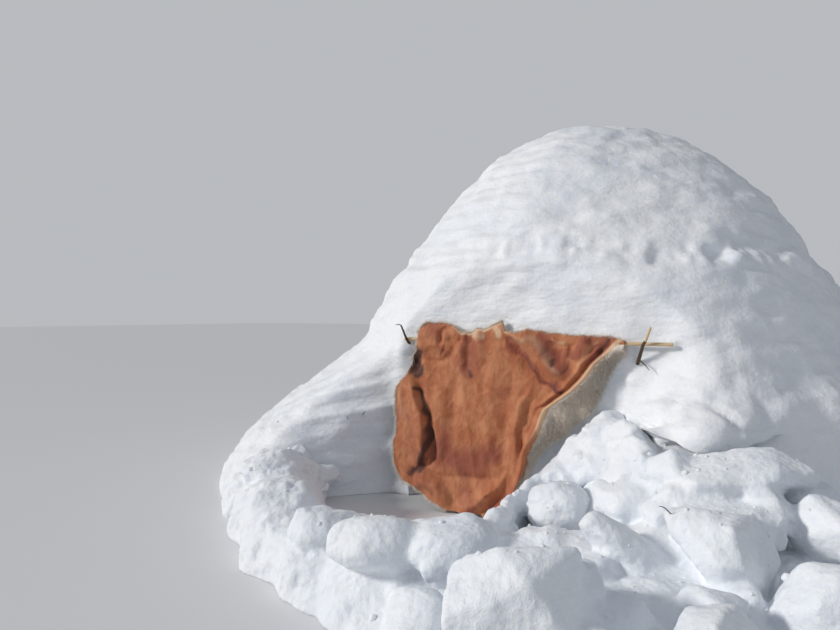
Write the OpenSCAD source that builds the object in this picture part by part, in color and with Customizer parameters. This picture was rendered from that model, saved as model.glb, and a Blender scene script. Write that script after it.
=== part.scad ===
// Heaped snow hut: a hollow bell of packed snow, with a hide curtain hung over its doorway.
// Millimetres, +Z up. The entrance faces -Y and +X is on its right-hand side.
// The origin is the middle of the footprint, on the trench floor.

/* [Mound] */
// Height of the mound above the trench floor
mound_h = 2480; // [2400:10:2560]
// Radius of the bell where its flank would reach the trench floor
mound_r = 1915; // [1860:5:1970]
// Roundness of the bell: 2 is an ellipse, less is more pointed
bell_power = 1.6; // [1.5:0.05:1.75]
// How far the loose toe of the mound spreads beyond the bell
toe_spread = 880; // [780:10:960]
// Height at which the toe starts to leave the bell
toe_top = 910; // [850:10:970]
// Fall over which the toe gains most of its spread
toe_fall = 585; // [500:5:650]
// Distance from the middle of the footprint back to the axis of the mound
mound_back = 270; // [240:5:300]
// Height of the seam between the two lifts in which the snow was heaped
seam_z = 1400; // [1300:10:1500]
// How far the lower lift stands proud of the upper one
seam_step = 30; // [10:1:50]
// Depth of the broad unevenness that patting with a shovel leaves
patting = 30; // [10:1:45]
// How far a pillow of snow hangs out from the right flank, over the heap
pillow_out = 110; // [60:5:130]

/* [Cave] */
// Thickness of the wall at the floor, from the hollow to the bell
wall_t = 615; // [575:10:695]
// Height of the hollow
cave_h = 2080; // [2030:10:2130]

/* [Courses] */
// Height of the foot pieces, where the arch of the doorway springs
foot_h = 500; // [460:10:540]
// Height of the wall pieces above the foot
wall_h = 480; // [450:10:500]
// Height of the haunch pieces above the wall
haunch_h = 430; // [390:10:450]
// Height of the roof pieces above the haunch
roof_h = 560; // [520:10:580]

/* [Entrance] */
// Depth to which the flat face for the entrance is cut into the bell, at the floor
face_depth = 415; // [385:5:445]
// Left end of that face, from the axis of the mound
face_left = 850; // [820:5:880]
// Place of the right cheek at the floor, left of the axis of the mound
cheek_foot = 40; // [20:5:60]
// How far the right cheek leans back to the right for each unit of height
cheek_lean = 0.86; // [0.8:0.01:0.92]
// Angle over which the cheeks run out from the face to the flank
cheek_turn = 8; // [6:0.5:10]
// Width of the doorway
door_w = 620; // [560:10:640]
// Middle of the doorway, left of the axis of the mound
door_left = 390; // [380:5:400]
// Rise of the doorway's arch above the foot pieces
arch_rise = 300; // [240:10:340]
// Length of lintel that bears on each jamb
lintel_bearing = 120; // [90:5:130]

/* [Curtain rod] */
// Diameter of the stick
rod_d = 22; // [18:1:26]
// Height of the stick above the floor
rod_z = 955; // [930:5:980]
// Left end of the stick, from the axis of the mound
rod_left = 750; // [730:5:790]
// Right end of the stick, from the axis of the mound
rod_right = 775; // [740:5:820]
// Diameter of the twigs that hold the stick
twig_d = 17; // [14:1:19]
// Length of each twig above the stick
twig_tip = 120; // [100:5:140]
// Lean of the twigs away from the snow
twig_lean = 29; // [27:1:31]
// Place of the left twig, from the axis of the mound
left_twig_x = 711; // [705:1:725]
// Place of the right twig, from the axis of the mound
right_twig_x = 647; // [630:1:670]

/* [Hide] */
// Thickness of the hide
hide_t = 8; // [6:1:10]
// Left edge at the stick, from the axis of the mound
hide_left = 660; // [640:5:670]
// Right edge at the stick, from the axis of the mound
hide_right = 560; // [540:5:580]
// How far the left edge spreads below the stick
hide_flare = 165; // [120:5:170]
// Right corner of the hem, left of the axis of the mound
hem_right = 100; // [80:5:120]
// Left corner of the hem, from the axis of the mound
hem_left = 410; // [380:5:440]
// Height of the hem above the floor
hem_z = 12; // [8:1:20]
// How far the hem stands out from the stick
hem_out = 130; // [100:5:150]
// Depth of the hanging folds at the hem
fold_depth = 26; // [14:1:34]
// Length of hide that is tucked down behind the stick
tuck = 110; // [80:5:140]

/* [Heap] */
// Height of the heap of dug-out snow, beside the right cheek
heap_h = 360; // [300:10:400]
// Height of the rim of snow in front of the trench
rim_h = 230; // [180:10:270]
// Share of the loose toe that is left under the heap
toe_left = 0.25; // [0.15:0.01:0.35]
// Size of the lumps against their drawn size
lump_scale = 1; // [0.9:0.02:1.1]

/* [Fits] */
// Gap between pieces that rest against each other
seat_gap = 0.3; // [0.2:0.05:0.5]
// Gap between the snow and the curtain
swing_gap = 10; // [8:1:12]

/* [Hidden] */

snow = [0.93, 0.95, 0.98];
heap_snow = [0.88, 0.91, 0.95];
peeled_wood = [0.86, 0.76, 0.58];
bark = [0.30, 0.21, 0.15];
hide_colour = [0.67, 0.42, 0.31];

wall_z = foot_h;
haunch_z = wall_z + wall_h;
roof_z = haunch_z + haunch_h;
crown_z = roof_z + roof_h;

face_y = mound_r - face_depth;
cave_r = mound_r - wall_t;
door_x0 = -door_left - door_w / 2;
door_x1 = -door_left + door_w / 2;

rod_r = rod_d / 2;
rod_y = face_y + swing_gap + hide_t + seat_gap + rod_r;
twig_r = twig_d / 2;

// Small numbers that the shape functions share
toe_power = 1.5;
seam_soft = 60;
crown_fade = 700;
heap_a = -60;
heap_half = 46;
heap_soft = 24;
pillow_a = -63;
pillow_half = 15;
pillow_rise = 120;
pillow_tall = 150;
cut_room = 2000;
// Heights over which the waves of the patting turn once
long_wave = 3240;
mid_wave = 1980;
short_wave = 1440;

function clamp01(t) = min(1, max(0, t));
function ease(t) = let (c = clamp01(t)) c * c * (3 - 2 * c);
function mix(a, b, t) = a + (b - a) * t;
function front_angle(a) = a - 360 * round(a / 360);
function polar(r, a, z) = [r * cos(a), r * sin(a), z];

// A repeatable uneven number between 0 and 1 for the count k
function uneven(k) = let (v = 437.585 * sin(k * 127.1 + 31.7)) v - floor(v);

// Outer skin of the mound, as a radius at an angle round the axis and a height
function bell_r(z) = mound_r * sqrt(max(0, 1 - pow(clamp01(z / mound_h), bell_power)));
function toe_r(z) = toe_spread * (1 - exp(-pow(max(0, toe_top - z) / toe_fall, toe_power)));
function toe_share(a) = 1 - (1 - toe_left) * ease((heap_half - abs(a - heap_a)) / heap_soft);
function seam_r(z) = seam_step * (1 - ease((z - seam_z) / seam_soft + 0.5));
function patting_r(a, z) = patting * clamp01(bell_r(z) / crown_fade)
    * (sin(3 * a + 360 * z / long_wave + 175) + 0.65 * sin(5 * a - 360 * z / mid_wave + 207)
        + 0.3 * sin(2 * a + 360 * z / short_wave + 54));
// The pillow swells at once above the foot pieces, then dies out up the flank and to both sides
function pillow_r(a, z) = pillow_out * ease((z - foot_h) / pillow_rise)
    * exp(-pow((a - pillow_a) / pillow_half, 2) - pow(max(0, z - foot_h - pillow_rise) / pillow_tall, 2));
function flank_r(a, z) = bell_r(z) + toe_r(z) * toe_share(a) + pillow_r(a, z)
    + seam_r(z) * clamp01(bell_r(z) / crown_fade) + patting_r(a, z);

// The entrance face is flat; m is 1 on it and falls to 0 over each cheek
function face_a0() = atan2(-face_y, -face_left);
function face_a1(z) = atan2(-face_y, -cheek_foot + cheek_lean * z);
function face_m(a, z) = min(ease((a - face_a0()) / cheek_turn + 1), ease((face_a1(z) - a) / cheek_turn + 1));
function face_r(a) = face_y / max(0.3, -sin(a));
function outer_r(angle, z) = let (a = front_angle(angle), flank = flank_r(a, z))
    mix(flank, min(flank, face_r(a)), face_m(a, z));

// Inner skin, the dug-out dome
function inner_r(z) = cave_r * sqrt(max(0, 1 - pow(z / cave_h, 2)));

// Angle at which the outer skin stands at a given x, found by stepping towards it
function skin_a(x, z, a, steps = 6) = steps == 0 ? a
    : skin_a(x, z, atan2(-sqrt(pow(outer_r(a, z), 2) - x * x), x), steps - 1);

// A side of a piece is a radial cut [0, angle] or a cut [1, x] square to the entrance face
function outer_a(side, z) = side[0] == 0 ? side[1] : skin_a(side[1], z, atan2(-face_y, side[1]));
function inner_a(side, z) = side[0] == 0 ? side[1]
    : atan2(-sqrt(pow(inner_r(z), 2) - pow(side[1], 2)), side[1]);

// Closed solid between two skins of equal rows and columns, the front one facing outward
module between(front, back) {
    rows = len(front) - 1;
    cols = len(front[0]) - 1;
    wide = cols + 1;
    deep = (rows + 1) * wide;
    points = [for (row = front) for (p = row) p, for (row = back) for (p = row) p];
    skins = [for (k = [0:rows - 1]) for (i = [0:cols - 1]) let (a = k * wide + i, b = a + wide) each [
        [a, b, b + 1], [a, b + 1, a + 1],
        [deep + a, deep + b + 1, deep + b], [deep + a, deep + a + 1, deep + b + 1]]];
    ends = [for (i = [0:cols - 1]) let (t = rows * wide + i) each [
        [t, deep + t, deep + t + 1], [t, deep + t + 1, t + 1],
        [i, i + 1, deep + i + 1], [i, deep + i + 1, deep + i]]];
    sides = [for (k = [0:rows - 1]) let (a = k * wide, b = a + wide, c = a + cols, d = c + wide) each [
        [deep + a, deep + b, b], [deep + a, b, a],
        [c, d, deep + c], [d, deep + d, deep + c]]];
    polyhedron(points, concat(skins, ends, sides), convexity = 6);
}

// Piece of the round wall between two sides and two heights; grow swells its outer skin
module wall_piece(side0, side1, z0, z1, cols, rows, grow = 0) {
    heights = [for (k = [0:rows]) mix(z0, z1, k / rows)];
    outer = [for (z = heights) [for (i = [0:cols])
        let (a = mix(outer_a(side0, z), outer_a(side1, z), i / cols)) polar(outer_r(a, z) + grow, a, z)]];
    inner = [for (z = heights) [for (i = [0:cols])
        let (a = mix(inner_a(side0, z), inner_a(side1, z), i / cols)) polar(inner_r(z), a, z)]];
    between(outer, inner);
}

// Everything stands behind the middle of the footprint
module placed() {
    translate([0, mound_back, 0]) children();
}

// Foot pieces, from the floor to the spring of the arch
jamb_left_a = -135;
jamb_right_a = -50;
foot_cuts = [jamb_right_a, 0, 45, 90, 135, 180, 360 + jamb_left_a];
foot_rows = 4;

module jamb_left(grow = 0) {
    wall_piece([0, jamb_left_a], [1, door_x0], 0, wall_z, 11, foot_rows, grow);
}

module jamb_right(grow = 0) {
    wall_piece([1, door_x1], [0, jamb_right_a], 0, wall_z, 15, foot_rows, grow);
}

module foot(k, grow = 0) {
    wall_piece([0, foot_cuts[k]], [0, foot_cuts[k + 1]], 0, wall_z, 8, foot_rows, grow);
}

module door_jamb_left() { color(snow) jamb_left(); }
module door_jamb_right() { color(snow) jamb_right(); }
module foot_right_front() { color(snow) foot(0); }
module foot_right_back() { color(snow) foot(1); }
module foot_back_right() { color(snow) foot(2); }
module foot_back_left() { color(snow) foot(3); }
module foot_left_back() { color(snow) foot(4); }
module foot_left_front() { color(snow) foot(5); }

// Lintel: its underside is the arch of the doorway
lintel_x0 = door_x0 - lintel_bearing;
lintel_x1 = door_x1 + lintel_bearing;
arch_cols = 12;
wall_rows = 4;

function arch_z(x) = wall_z + arch_rise * sqrt(max(0, 1 - pow((x + door_left) / (door_w / 2), 2)));

module door_lintel() {
    xs = [lintel_x0, for (i = [0:arch_cols]) -door_left - door_w / 2 * cos(180 * i / arch_cols), lintel_x1];
    outer = [for (k = [0:wall_rows]) [for (x = xs)
        let (z = mix(arch_z(x), haunch_z, k / wall_rows), a = outer_a([1, x], z))
        polar(outer_r(a, z), a, z)]];
    inner = [for (k = [0:wall_rows]) [for (x = xs)
        let (z = mix(arch_z(x), haunch_z, k / wall_rows)) [x, -sqrt(pow(inner_r(z), 2) - x * x), z]]];
    color(snow) between(outer, inner);
}

// Wall pieces, beside and behind the lintel
wall_right_a = -40;
wall_step = 52;

module wall(k) {
    wall_piece([0, wall_right_a + k * wall_step], [0, wall_right_a + (k + 1) * wall_step],
        wall_z, haunch_z, 9, wall_rows);
}

module wall_by_cheek(grow = 0) {
    wall_piece([1, lintel_x1], [0, wall_right_a], wall_z, haunch_z, 14, wall_rows, grow);
}

module wall_front_right() { color(snow) wall_by_cheek(); }
module wall_right() { color(snow) wall(0); }
module wall_back_right() { color(snow) wall(1); }
module wall_back() { color(snow) wall(2); }
module wall_back_left() { color(snow) wall(3); }
module wall_left() { color(snow) wall(4); }
module wall_front_left() {
    color(snow) wall_piece([0, wall_right_a + 5 * wall_step - 360], [1, lintel_x0],
        wall_z, haunch_z, 8, wall_rows);
}

// Haunch pieces: the first stands over the lintel
haunch_a = -120;
haunch_step = 60;

module haunch(k) {
    wall_piece([0, haunch_a + k * haunch_step], [0, haunch_a + (k + 1) * haunch_step],
        haunch_z, roof_z, 10, wall_rows);
}

module haunch_front() { color(snow) haunch(0); }
module haunch_front_right() { color(snow) haunch(1); }
module haunch_back_right() { color(snow) haunch(2); }
module haunch_back() { color(snow) haunch(3); }
module haunch_back_left() { color(snow) haunch(4); }
module haunch_front_left() { color(snow) haunch(5); }

// Roof pieces, which lean in over the cave
roof_a = -90;
roof_step = 72;

module roof(k) {
    wall_piece([0, roof_a + k * roof_step], [0, roof_a + (k + 1) * roof_step],
        roof_z, crown_z, 10, wall_rows);
}

module roof_front_right() { color(snow) roof(0); }
module roof_right() { color(snow) roof(1); }
module roof_back() { color(snow) roof(2); }
module roof_left() { color(snow) roof(3); }
module roof_front_left() { color(snow) roof(4); }

// Crown: the closed cap of the dome, rings of points that end in one point above and one below
crown_cols = 40;
crown_rings = 5;

module crown() {
    last = crown_rings - 1;
    rise = [for (k = [0:last]) sin(90 * k / crown_rings)];
    angles = [for (i = [0:crown_cols - 1]) 360 * i / crown_cols];
    outer = [for (t = rise) for (a = angles) let (z = mix(crown_z, mound_h, t)) polar(outer_r(a, z), a, z)];
    inner = [for (t = rise) for (a = angles) let (z = mix(crown_z, cave_h, t)) polar(inner_r(z), a, z)];
    deep = len(outer);
    top = 2 * deep;
    low = top + 1;
    next = function(i) (i + 1) % crown_cols;
    skins = [for (k = [0:last - 1]) for (i = [0:crown_cols - 1])
        let (a = k * crown_cols + i, b = k * crown_cols + next(i), c = a + crown_cols, d = b + crown_cols)
        each [[a, c, d], [a, d, b], [deep + a, deep + d, deep + c], [deep + a, deep + b, deep + d]]];
    ends = [for (i = [0:crown_cols - 1])
        let (a = last * crown_cols + i, b = last * crown_cols + next(i)) each [
        [a, top, b], [deep + a, deep + b, low],
        [i, next(i), deep + next(i)], [i, deep + next(i), deep + i]]];
    tips = [[0, 0, mound_h], [0, 0, cave_h]];
    color(snow) polyhedron(concat(outer, inner, tips), concat(skins, ends), convexity = 6);
}

// Heap and rim: low ridges of dug-out snow with lumps on them. Their places are given by x and by
// the distance out in front of the foot of the bell, so they keep to the mound and its entrance.
function heap_spot(x, out) = [x, -mound_r - out, 0];

// Stations of the ridge, from the right flank round the front to the left: [x, out, radius, height]
ridge = [
    [1190, -260, 420, heap_h],
    [1120, 160, 430, heap_h],
    [860, 620, 400, heap_h * 0.85],
    [470, 960, 340, rim_h * 1.1],
    [-80, 920, 270, rim_h],
    [-580, 740, 260, rim_h * 1.1],
    [-1010, 440, 280, rim_h * 1.4],
    [-1310, 80, 300, rim_h * 1.6]];
// Stations of the low spur that runs in from the heap to the foot of the right cheek
spur = [[350, 40, 185, heap_h * 0.3], [690, 120, 330, heap_h * 0.75], ridge[1]];

// Lumps: [x, out, height of the middle, length, width, height, turn]
lumps = [
    [340, 60, 180, 280, 280, 270, 10],
    [690, 80, 300, 330, 270, 240, 30],
    [1080, 40, 420, 520, 300, 210, -14],
    [1080, 420, 340, 370, 320, 290, 24],
    [730, 500, 290, 370, 260, 230, -30],
    [1460, 140, 330, 360, 300, 260, 50],
    [1040, 840, 190, 280, 250, 270, 5],
    [600, 1160, 200, 450, 340, 320, -20],
    [190, 880, 240, 330, 270, 200, 12],
    [-30, 1020, 190, 360, 260, 260, -8],
    [-380, 860, 230, 300, 240, 190, 22],
    [510, 360, 200, 250, 210, 230, 60],
    [900, 240, 370, 230, 200, 170, 0],
    [1370, 540, 170, 330, 260, 280, -40],
    [-780, 660, 290, 290, 230, 200, 45],
    [-1150, 320, 340, 300, 240, 190, 20]];
lump_edge = 30;
lump_knobs = 11;

// Each lump is the hull of knobs spread evenly over an egg shape, with uneven reach
module lump(n) {
    l = lumps[n];
    translate(heap_spot(l[0], l[1]) + [0, 0, l[2]]) rotate([0, 0, l[6]]) scale(lump_scale) hull()
        for (k = [0:lump_knobs - 1]) {
            up = 1 - 2 * (k + 0.5) / lump_knobs;
            turn = 137.5 * k;
            flat = sqrt(1 - up * up);
            reach = 0.84 + 0.22 * uneven(lump_knobs * n + k);
            dir = [flat * cos(turn), flat * sin(turn), up] * reach;
            translate([for (j = [0:2]) dir[j] * (l[3 + j] / 2 - lump_edge)]) sphere(r = lump_edge, $fn = 6);
        }
}

module ridge_pad(s) {
    translate(heap_spot(s[0], s[1])) cylinder(h = s[3], r1 = s[2], r2 = s[2] * 0.4, $fn = 14);
}

module bank(stations) {
    for (k = [0:len(stations) - 2]) hull() {
        ridge_pad(stations[k]);
        ridge_pad(stations[k + 1]);
    }
}

// Room that the curtain sweeps as it swings out about the stick
module swing_room() {
    drop = rod_z - hem_z + hem_out + swing_gap;
    left = hide_left + hide_flare + swing_gap;
    right = hide_right + swing_gap;
    low_right = -hem_right + swing_gap;
    side_room = 60;
    translate([0, -rod_y, rod_z]) rotate([0, 90, 0])
        rotate_extrude($fn = 48)
            polygon([[0, -left], [drop, -left], [drop, low_right + side_room], [0, right + side_room]]);
}

// The flank that the heap lies against, with its joints closed
module flank_room() {
    close = 2;
    jamb_left(seat_gap);
    jamb_right(seat_gap);
    foot(0, seat_gap);
    foot(5, seat_gap);
    wall_by_cheek(seat_gap);
    for (a = [jamb_left_a, jamb_right_a])
        wall_piece([0, a - 0.5], [0, a + 0.5], 0, wall_z, 1, foot_rows, -close);
    wall_piece([0, face_a1(wall_z) - cheek_turn], [0, wall_right_a],
        wall_z - close, wall_z + close, 30, 1, -close);
}

module heap_solid() {
    difference() {
        union() {
            bank(ridge);
            bank(spur);
            for (n = [0:len(lumps) - 1]) lump(n);
        }
        translate([-2 * cut_room, -2 * cut_room, -cut_room]) cube([4 * cut_room, 4 * cut_room, cut_room]);
        flank_room();
        swing_room();
    }
}

// The heap is parted by upright cuts that fan out from the middle of the trench
fan_x = -160;
fan_out = -275;
fan_cuts = [20, -20.6, -52, -92.7, -134, -190];

module heap_part(k) {
    reach = 2 * cut_room;
    color(heap_snow) intersection() {
        heap_solid();
        translate(heap_spot(fan_x, fan_out)) linear_extrude(cut_room) polygon([[0, 0],
            for (t = [0:3]) let (a = mix(fan_cuts[k], fan_cuts[k + 1], t / 3))
                [reach * cos(a), reach * sin(a)]]);
    }
}

module heap_by_door() { heap_part(0); }
module heap_right() { heap_part(1); }
module heap_front_right() { heap_part(2); }
module rim_front() { heap_part(3); }
module rim_left() { heap_part(4); }

// Stick that the curtain hangs on
module rod() {
    color(peeled_wood) translate([-rod_left, -rod_y, rod_z]) rotate([0, 90, 0])
        cylinder(h = rod_left + rod_right, d = rod_d, $fn = 32);
}

// Twig that leans out of the snow in front of the stick and holds it; lean_x tips it sideways
module twig(x, lean_x, fork_z, fork_turn) {
    gap = rod_r + twig_r + seat_gap;
    root = 160;
    color(bark) difference() {
        translate([x, -rod_y, rod_z]) rotate([twig_lean, 0, 0]) translate([0, -gap, 0])
                rotate([0, lean_x, 0]) {
            translate([0, 0, -root]) cylinder(h = root, r = twig_r, $fn = 24);
            cylinder(h = twig_tip, r1 = twig_r, r2 = twig_r * 0.72, $fn = 24);
            translate([0, 0, fork_z]) rotate([0, fork_turn, 0])
                cylinder(h = 45, r1 = twig_r * 0.5, r2 = twig_r * 0.3, $fn = 16);
        }
        translate([x - cut_room, -face_y - seat_gap, 0]) cube([2 * cut_room, cut_room, cut_room]);
        wall_by_cheek(seat_gap);
    }
}

module twig_left() { twig(-left_twig_x, -22, 104, -62); }
module twig_right() { twig(right_twig_x, 24, -70, 75); }

// Hide: one sheet, tucked down behind the stick, over it, and down in front to the floor
hide_cols = 22;
arc_steps = 10;
drop_rows = 16;

function hide_x0(z) = -hide_left - hide_flare * ease((rod_z - 90 - z) / 260)
    + (hide_left + hide_flare - hem_left) * pow(clamp01((150 - z) / (150 - hem_z)), 2);
function hide_x1(z) = mix(-hem_right, hide_right, clamp01((z - hem_z) / (rod_z - hem_z)));
function fold(x, f) = f * (hem_out * f + fold_depth * (1 + sin(x * 1.45 + 60 * f))
    + 60 * exp(-pow((x + hide_left) / 110, 2)) * ease(2 * f));

function hide_row(side, z) = [for (i = [0:hide_cols])
    let (x = mix(hide_x0(z), hide_x1(z), i / hide_cols), f = (rod_z - z) / (rod_z - hem_z))
    [x, -rod_y - side - fold(x, f), z]];
function straight_row(y, z) = [for (i = [0:hide_cols])
    [mix(-hide_left, hide_right, i / hide_cols), y, z]];

module hide() {
    snug = (rod_r + seat_gap) / cos(90 / arc_steps);
    proud = snug + hide_t;
    heights = [for (k = [0:drop_rows]) mix(hem_z, rod_z, k / drop_rows)];
    arc = [for (k = [1:arc_steps]) 180 * k / arc_steps];
    outside = concat([for (z = heights) hide_row(proud, z)],
        [for (a = arc) straight_row(-rod_y - proud * cos(a), rod_z + proud * sin(a))],
        [straight_row(-rod_y + proud, rod_z - tuck)]);
    inside = concat([for (z = heights) hide_row(snug, z)],
        [for (a = arc) straight_row(-rod_y - snug * cos(a), rod_z + snug * sin(a))],
        [straight_row(-rod_y + snug, rod_z - tuck)]);
    color(hide_colour) between(outside, inside);
}

placed() door_jamb_left();
placed() door_jamb_right();
placed() foot_right_front();
placed() foot_right_back();
placed() foot_back_right();
placed() foot_back_left();
placed() foot_left_back();
placed() foot_left_front();
placed() door_lintel();
placed() wall_front_right();
placed() wall_right();
placed() wall_back_right();
placed() wall_back();
placed() wall_back_left();
placed() wall_left();
placed() wall_front_left();
placed() haunch_front();
placed() haunch_front_right();
placed() haunch_back_right();
placed() haunch_back();
placed() haunch_back_left();
placed() haunch_front_left();
placed() roof_front_right();
placed() roof_right();
placed() roof_back();
placed() roof_left();
placed() roof_front_left();
placed() crown();
placed() heap_by_door();
placed() heap_right();
placed() heap_front_right();
placed() rim_front();
placed() rim_left();
placed() rod();
placed() twig_left();
placed() twig_right();
placed() hide();
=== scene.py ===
"""Looks of a heaped snow hut with a hide curtain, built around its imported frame.

Lengths are metres. The snow's form is worked out round the axis of the mound, from the same sizes as the
construction, and is then moved back to where the frame has that axis.
"""
from __future__ import annotations

import itertools
import logging
import math
from dataclasses import dataclass, field
from enum import Enum

import bmesh
import bpy
import numpy as np
from bpy.types import Material, Node, NodeSocket, NodeTree, Object
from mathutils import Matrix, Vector
from mathutils.bvhtree import BVHTree

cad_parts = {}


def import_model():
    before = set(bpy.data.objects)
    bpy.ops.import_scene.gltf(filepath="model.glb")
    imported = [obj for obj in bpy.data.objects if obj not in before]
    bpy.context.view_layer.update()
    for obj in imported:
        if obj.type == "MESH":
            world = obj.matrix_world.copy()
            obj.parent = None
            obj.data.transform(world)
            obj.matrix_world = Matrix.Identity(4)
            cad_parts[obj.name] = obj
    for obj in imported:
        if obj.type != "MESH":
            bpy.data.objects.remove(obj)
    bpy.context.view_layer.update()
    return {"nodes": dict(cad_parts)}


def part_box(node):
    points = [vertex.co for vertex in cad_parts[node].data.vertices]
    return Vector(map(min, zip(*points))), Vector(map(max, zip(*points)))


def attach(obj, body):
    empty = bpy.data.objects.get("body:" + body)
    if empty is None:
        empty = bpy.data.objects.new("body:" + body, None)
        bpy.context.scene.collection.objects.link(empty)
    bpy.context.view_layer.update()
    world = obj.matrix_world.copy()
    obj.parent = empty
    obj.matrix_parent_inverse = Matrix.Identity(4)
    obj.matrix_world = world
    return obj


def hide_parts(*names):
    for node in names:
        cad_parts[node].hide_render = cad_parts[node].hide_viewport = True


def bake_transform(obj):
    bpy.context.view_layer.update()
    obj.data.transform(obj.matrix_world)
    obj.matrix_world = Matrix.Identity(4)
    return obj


Array = np.ndarray
Rng = np.random.Generator
Point = tuple[float, float, float]
Line = list[tuple[float, ...]]
Rows = tuple[tuple[float, ...], ...]
Shape = tuple[Array, list]
Layers = tuple[tuple[float, "float | Point", int], ...]

log = logging.getLogger("snow_hut")
DETAIL = 1.0
DOWN = Vector((0.0, 0.0, -1.0))
# The stick's axis in front of the entrance face: the gap, the hide and half of the stick
ROD_STANDS_OUT = 0.0293


def ease(t: Array) -> Array:
    """Smooth step from 0 to 1 of t, held at both ends."""
    c = np.clip(t, 0.0, 1.0)
    return c * c * (3.0 - 2.0 * c)


def mix(a: Array, b: Array, t: Array) -> Array:
    """Value between a and b at share t."""
    return a + (b - a) * t


def window(value: Array, low: float, rise: float, high: float, fall: float) -> Array:
    """Share that rises from 0 at low over one length, and falls back to 0 at high over another."""
    return ease((value - low) / rise) * ease((high - value) / fall)


def hump(t: Array) -> Array:
    """Bell curve, 1 at 0 and fading to both sides."""
    return np.exp(-(t**2))


def unit(ways: Array) -> Array:
    """Directions brought to length 1, one in each last axis."""
    return ways / np.maximum(np.linalg.norm(ways, axis=-1, keepdims=True), 1e-9)


def signed(a: Array) -> Array:
    """Angles in degrees brought between -180 and 180."""
    return a - 360.0 * np.round(a / 360.0)


def polar(r: Array, a: Array, z: Array) -> Array:
    """Places at a radius, an angle in degrees and a height."""
    return np.stack([r * np.cos(np.radians(a)), r * np.sin(np.radians(a)), z], axis=-1)


def across(x: Array, z: Array | float = 0.0) -> Array:
    """Places in the plane of the entrance, from their x and height."""
    return np.stack([x, np.zeros_like(x), z + 0.0 * x], axis=1)


def lattice(cell: Array, seed: int) -> Array:
    """Repeatable numbers for lattice cells.

    Args:
        cell: Whole-numbered cells, one row each.
        seed: Number of the pattern.

    Returns:
        One number from -1 to 1 for each row.
    """
    h = (cell[:, 0] * 73856093) ^ (cell[:, 1] * 19349663) ^ (cell[:, 2] * 83492791) ^ (seed * 2654435761)
    h = (h & 0xFFFFFFFF) * 1274126177 & 0xFFFFFFFF
    h = (h ^ (h >> 15)) * 668265263 & 0xFFFFFFFF
    return ((h >> 8) & 0xFFFF) / 32767.5 - 1.0


def noise(points: Array, size: float | Point, seed: int = 0) -> Array:
    """Smooth noise over space.

    Args:
        points: Places, one row each.
        size: Width of its lumps, one number or one for each axis.
        seed: Number of the pattern.

    Returns:
        One number from about -1 to 1 for each row.
    """
    scaled = points / np.asarray(size, float)
    cell = np.floor(scaled).astype(np.int64)
    t = scaled - cell
    t = t * t * t * (t * (t * 6.0 - 15.0) + 10.0)
    total = np.zeros(len(points))
    for corner in itertools.product((0, 1), repeat=3):
        share = np.prod(np.where(corner, t, 1.0 - t), axis=1)
        total += share * lattice(cell + np.array(corner), seed)
    return total


def fractal(points: Array, size: float | Point, octaves: int, seed: int) -> Array:
    """Sum of noises, each of half the width and about half the height of the one before.

    Args:
        points: Places, one row each.
        size: Width of the largest lumps.
        octaves: How many noises are summed.
        seed: Number of the pattern.

    Returns:
        One number from about -1 to 1 for each row.
    """
    size = np.asarray(size, float)
    total = sum(0.55**k * noise(points, size * 0.5**k, seed + 17 * k) for k in range(octaves))
    return total / sum(0.55**k for k in range(octaves))


def clods(points: Array, size: float, seed: int, tilt: float = 0.5) -> Array:
    """Relief of clods packed side by side, each with its own tilted top and a crease round it.

    Args:
        points: Places, one row each.
        size: Width of a clod.
        seed: Number of the pattern.
        tilt: Slope of the tops.

    Returns:
        How far each point is raised, in the unit of the size, from about -0.35 to 0.25.
    """
    scaled = points / size
    base = np.floor(scaled).astype(np.int64)
    near = np.full(len(points), np.inf)
    next_near = np.full(len(points), np.inf)
    top = np.zeros(len(points))
    for step in itertools.product((-1, 0, 1), repeat=3):
        cell = base + np.array(step)
        jitter = np.stack([lattice(cell, seed + k) for k in range(3)], axis=1)
        away = scaled - (cell + 0.5 + 0.42 * jitter)
        distance = np.linalg.norm(away, axis=1)
        slope = np.stack([lattice(cell, seed + 3 + k) for k in range(3)], axis=1)
        height = 0.12 * lattice(cell, seed + 7) + tilt * 0.5 * np.sum(away * slope, axis=1)
        closer = distance < near
        next_near = np.where(closer, near, np.minimum(next_near, distance))
        top = np.where(closer, height, top)
        near = np.where(closer, distance, near)
    crease = hump((next_near - near) / 0.16)
    return np.clip(top, -0.25, 0.25) * (1.0 - crease) - 0.22 * crease


def layers(points: Array, terms: Layers) -> Array:
    """Sum of smooth noises, each given by its height, its width and its number."""
    return sum(height * noise(points, size, seed) for height, size, seed in terms)


def noise_columns(points: Array, size: float, seed: int, count: int = 3) -> Array:
    """Noises of one width that differ from column to column, to bend a pattern with."""
    return np.stack([noise(points, size, seed + k) for k in range(count)], axis=1)


def run_length(corners: Array) -> Array:
    """Distance along a line of straight stretches at each of its corners."""
    return np.concatenate([[0.0], np.cumsum(np.linalg.norm(np.diff(corners, axis=0), axis=1))])


def edge_at(line: Line, z: Array) -> Array:
    """Place across of an edge, which is listed as heights and places from the top down, at some heights."""
    heights, places = np.array(line)[::-1].T
    return np.interp(z, heights, places)


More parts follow.
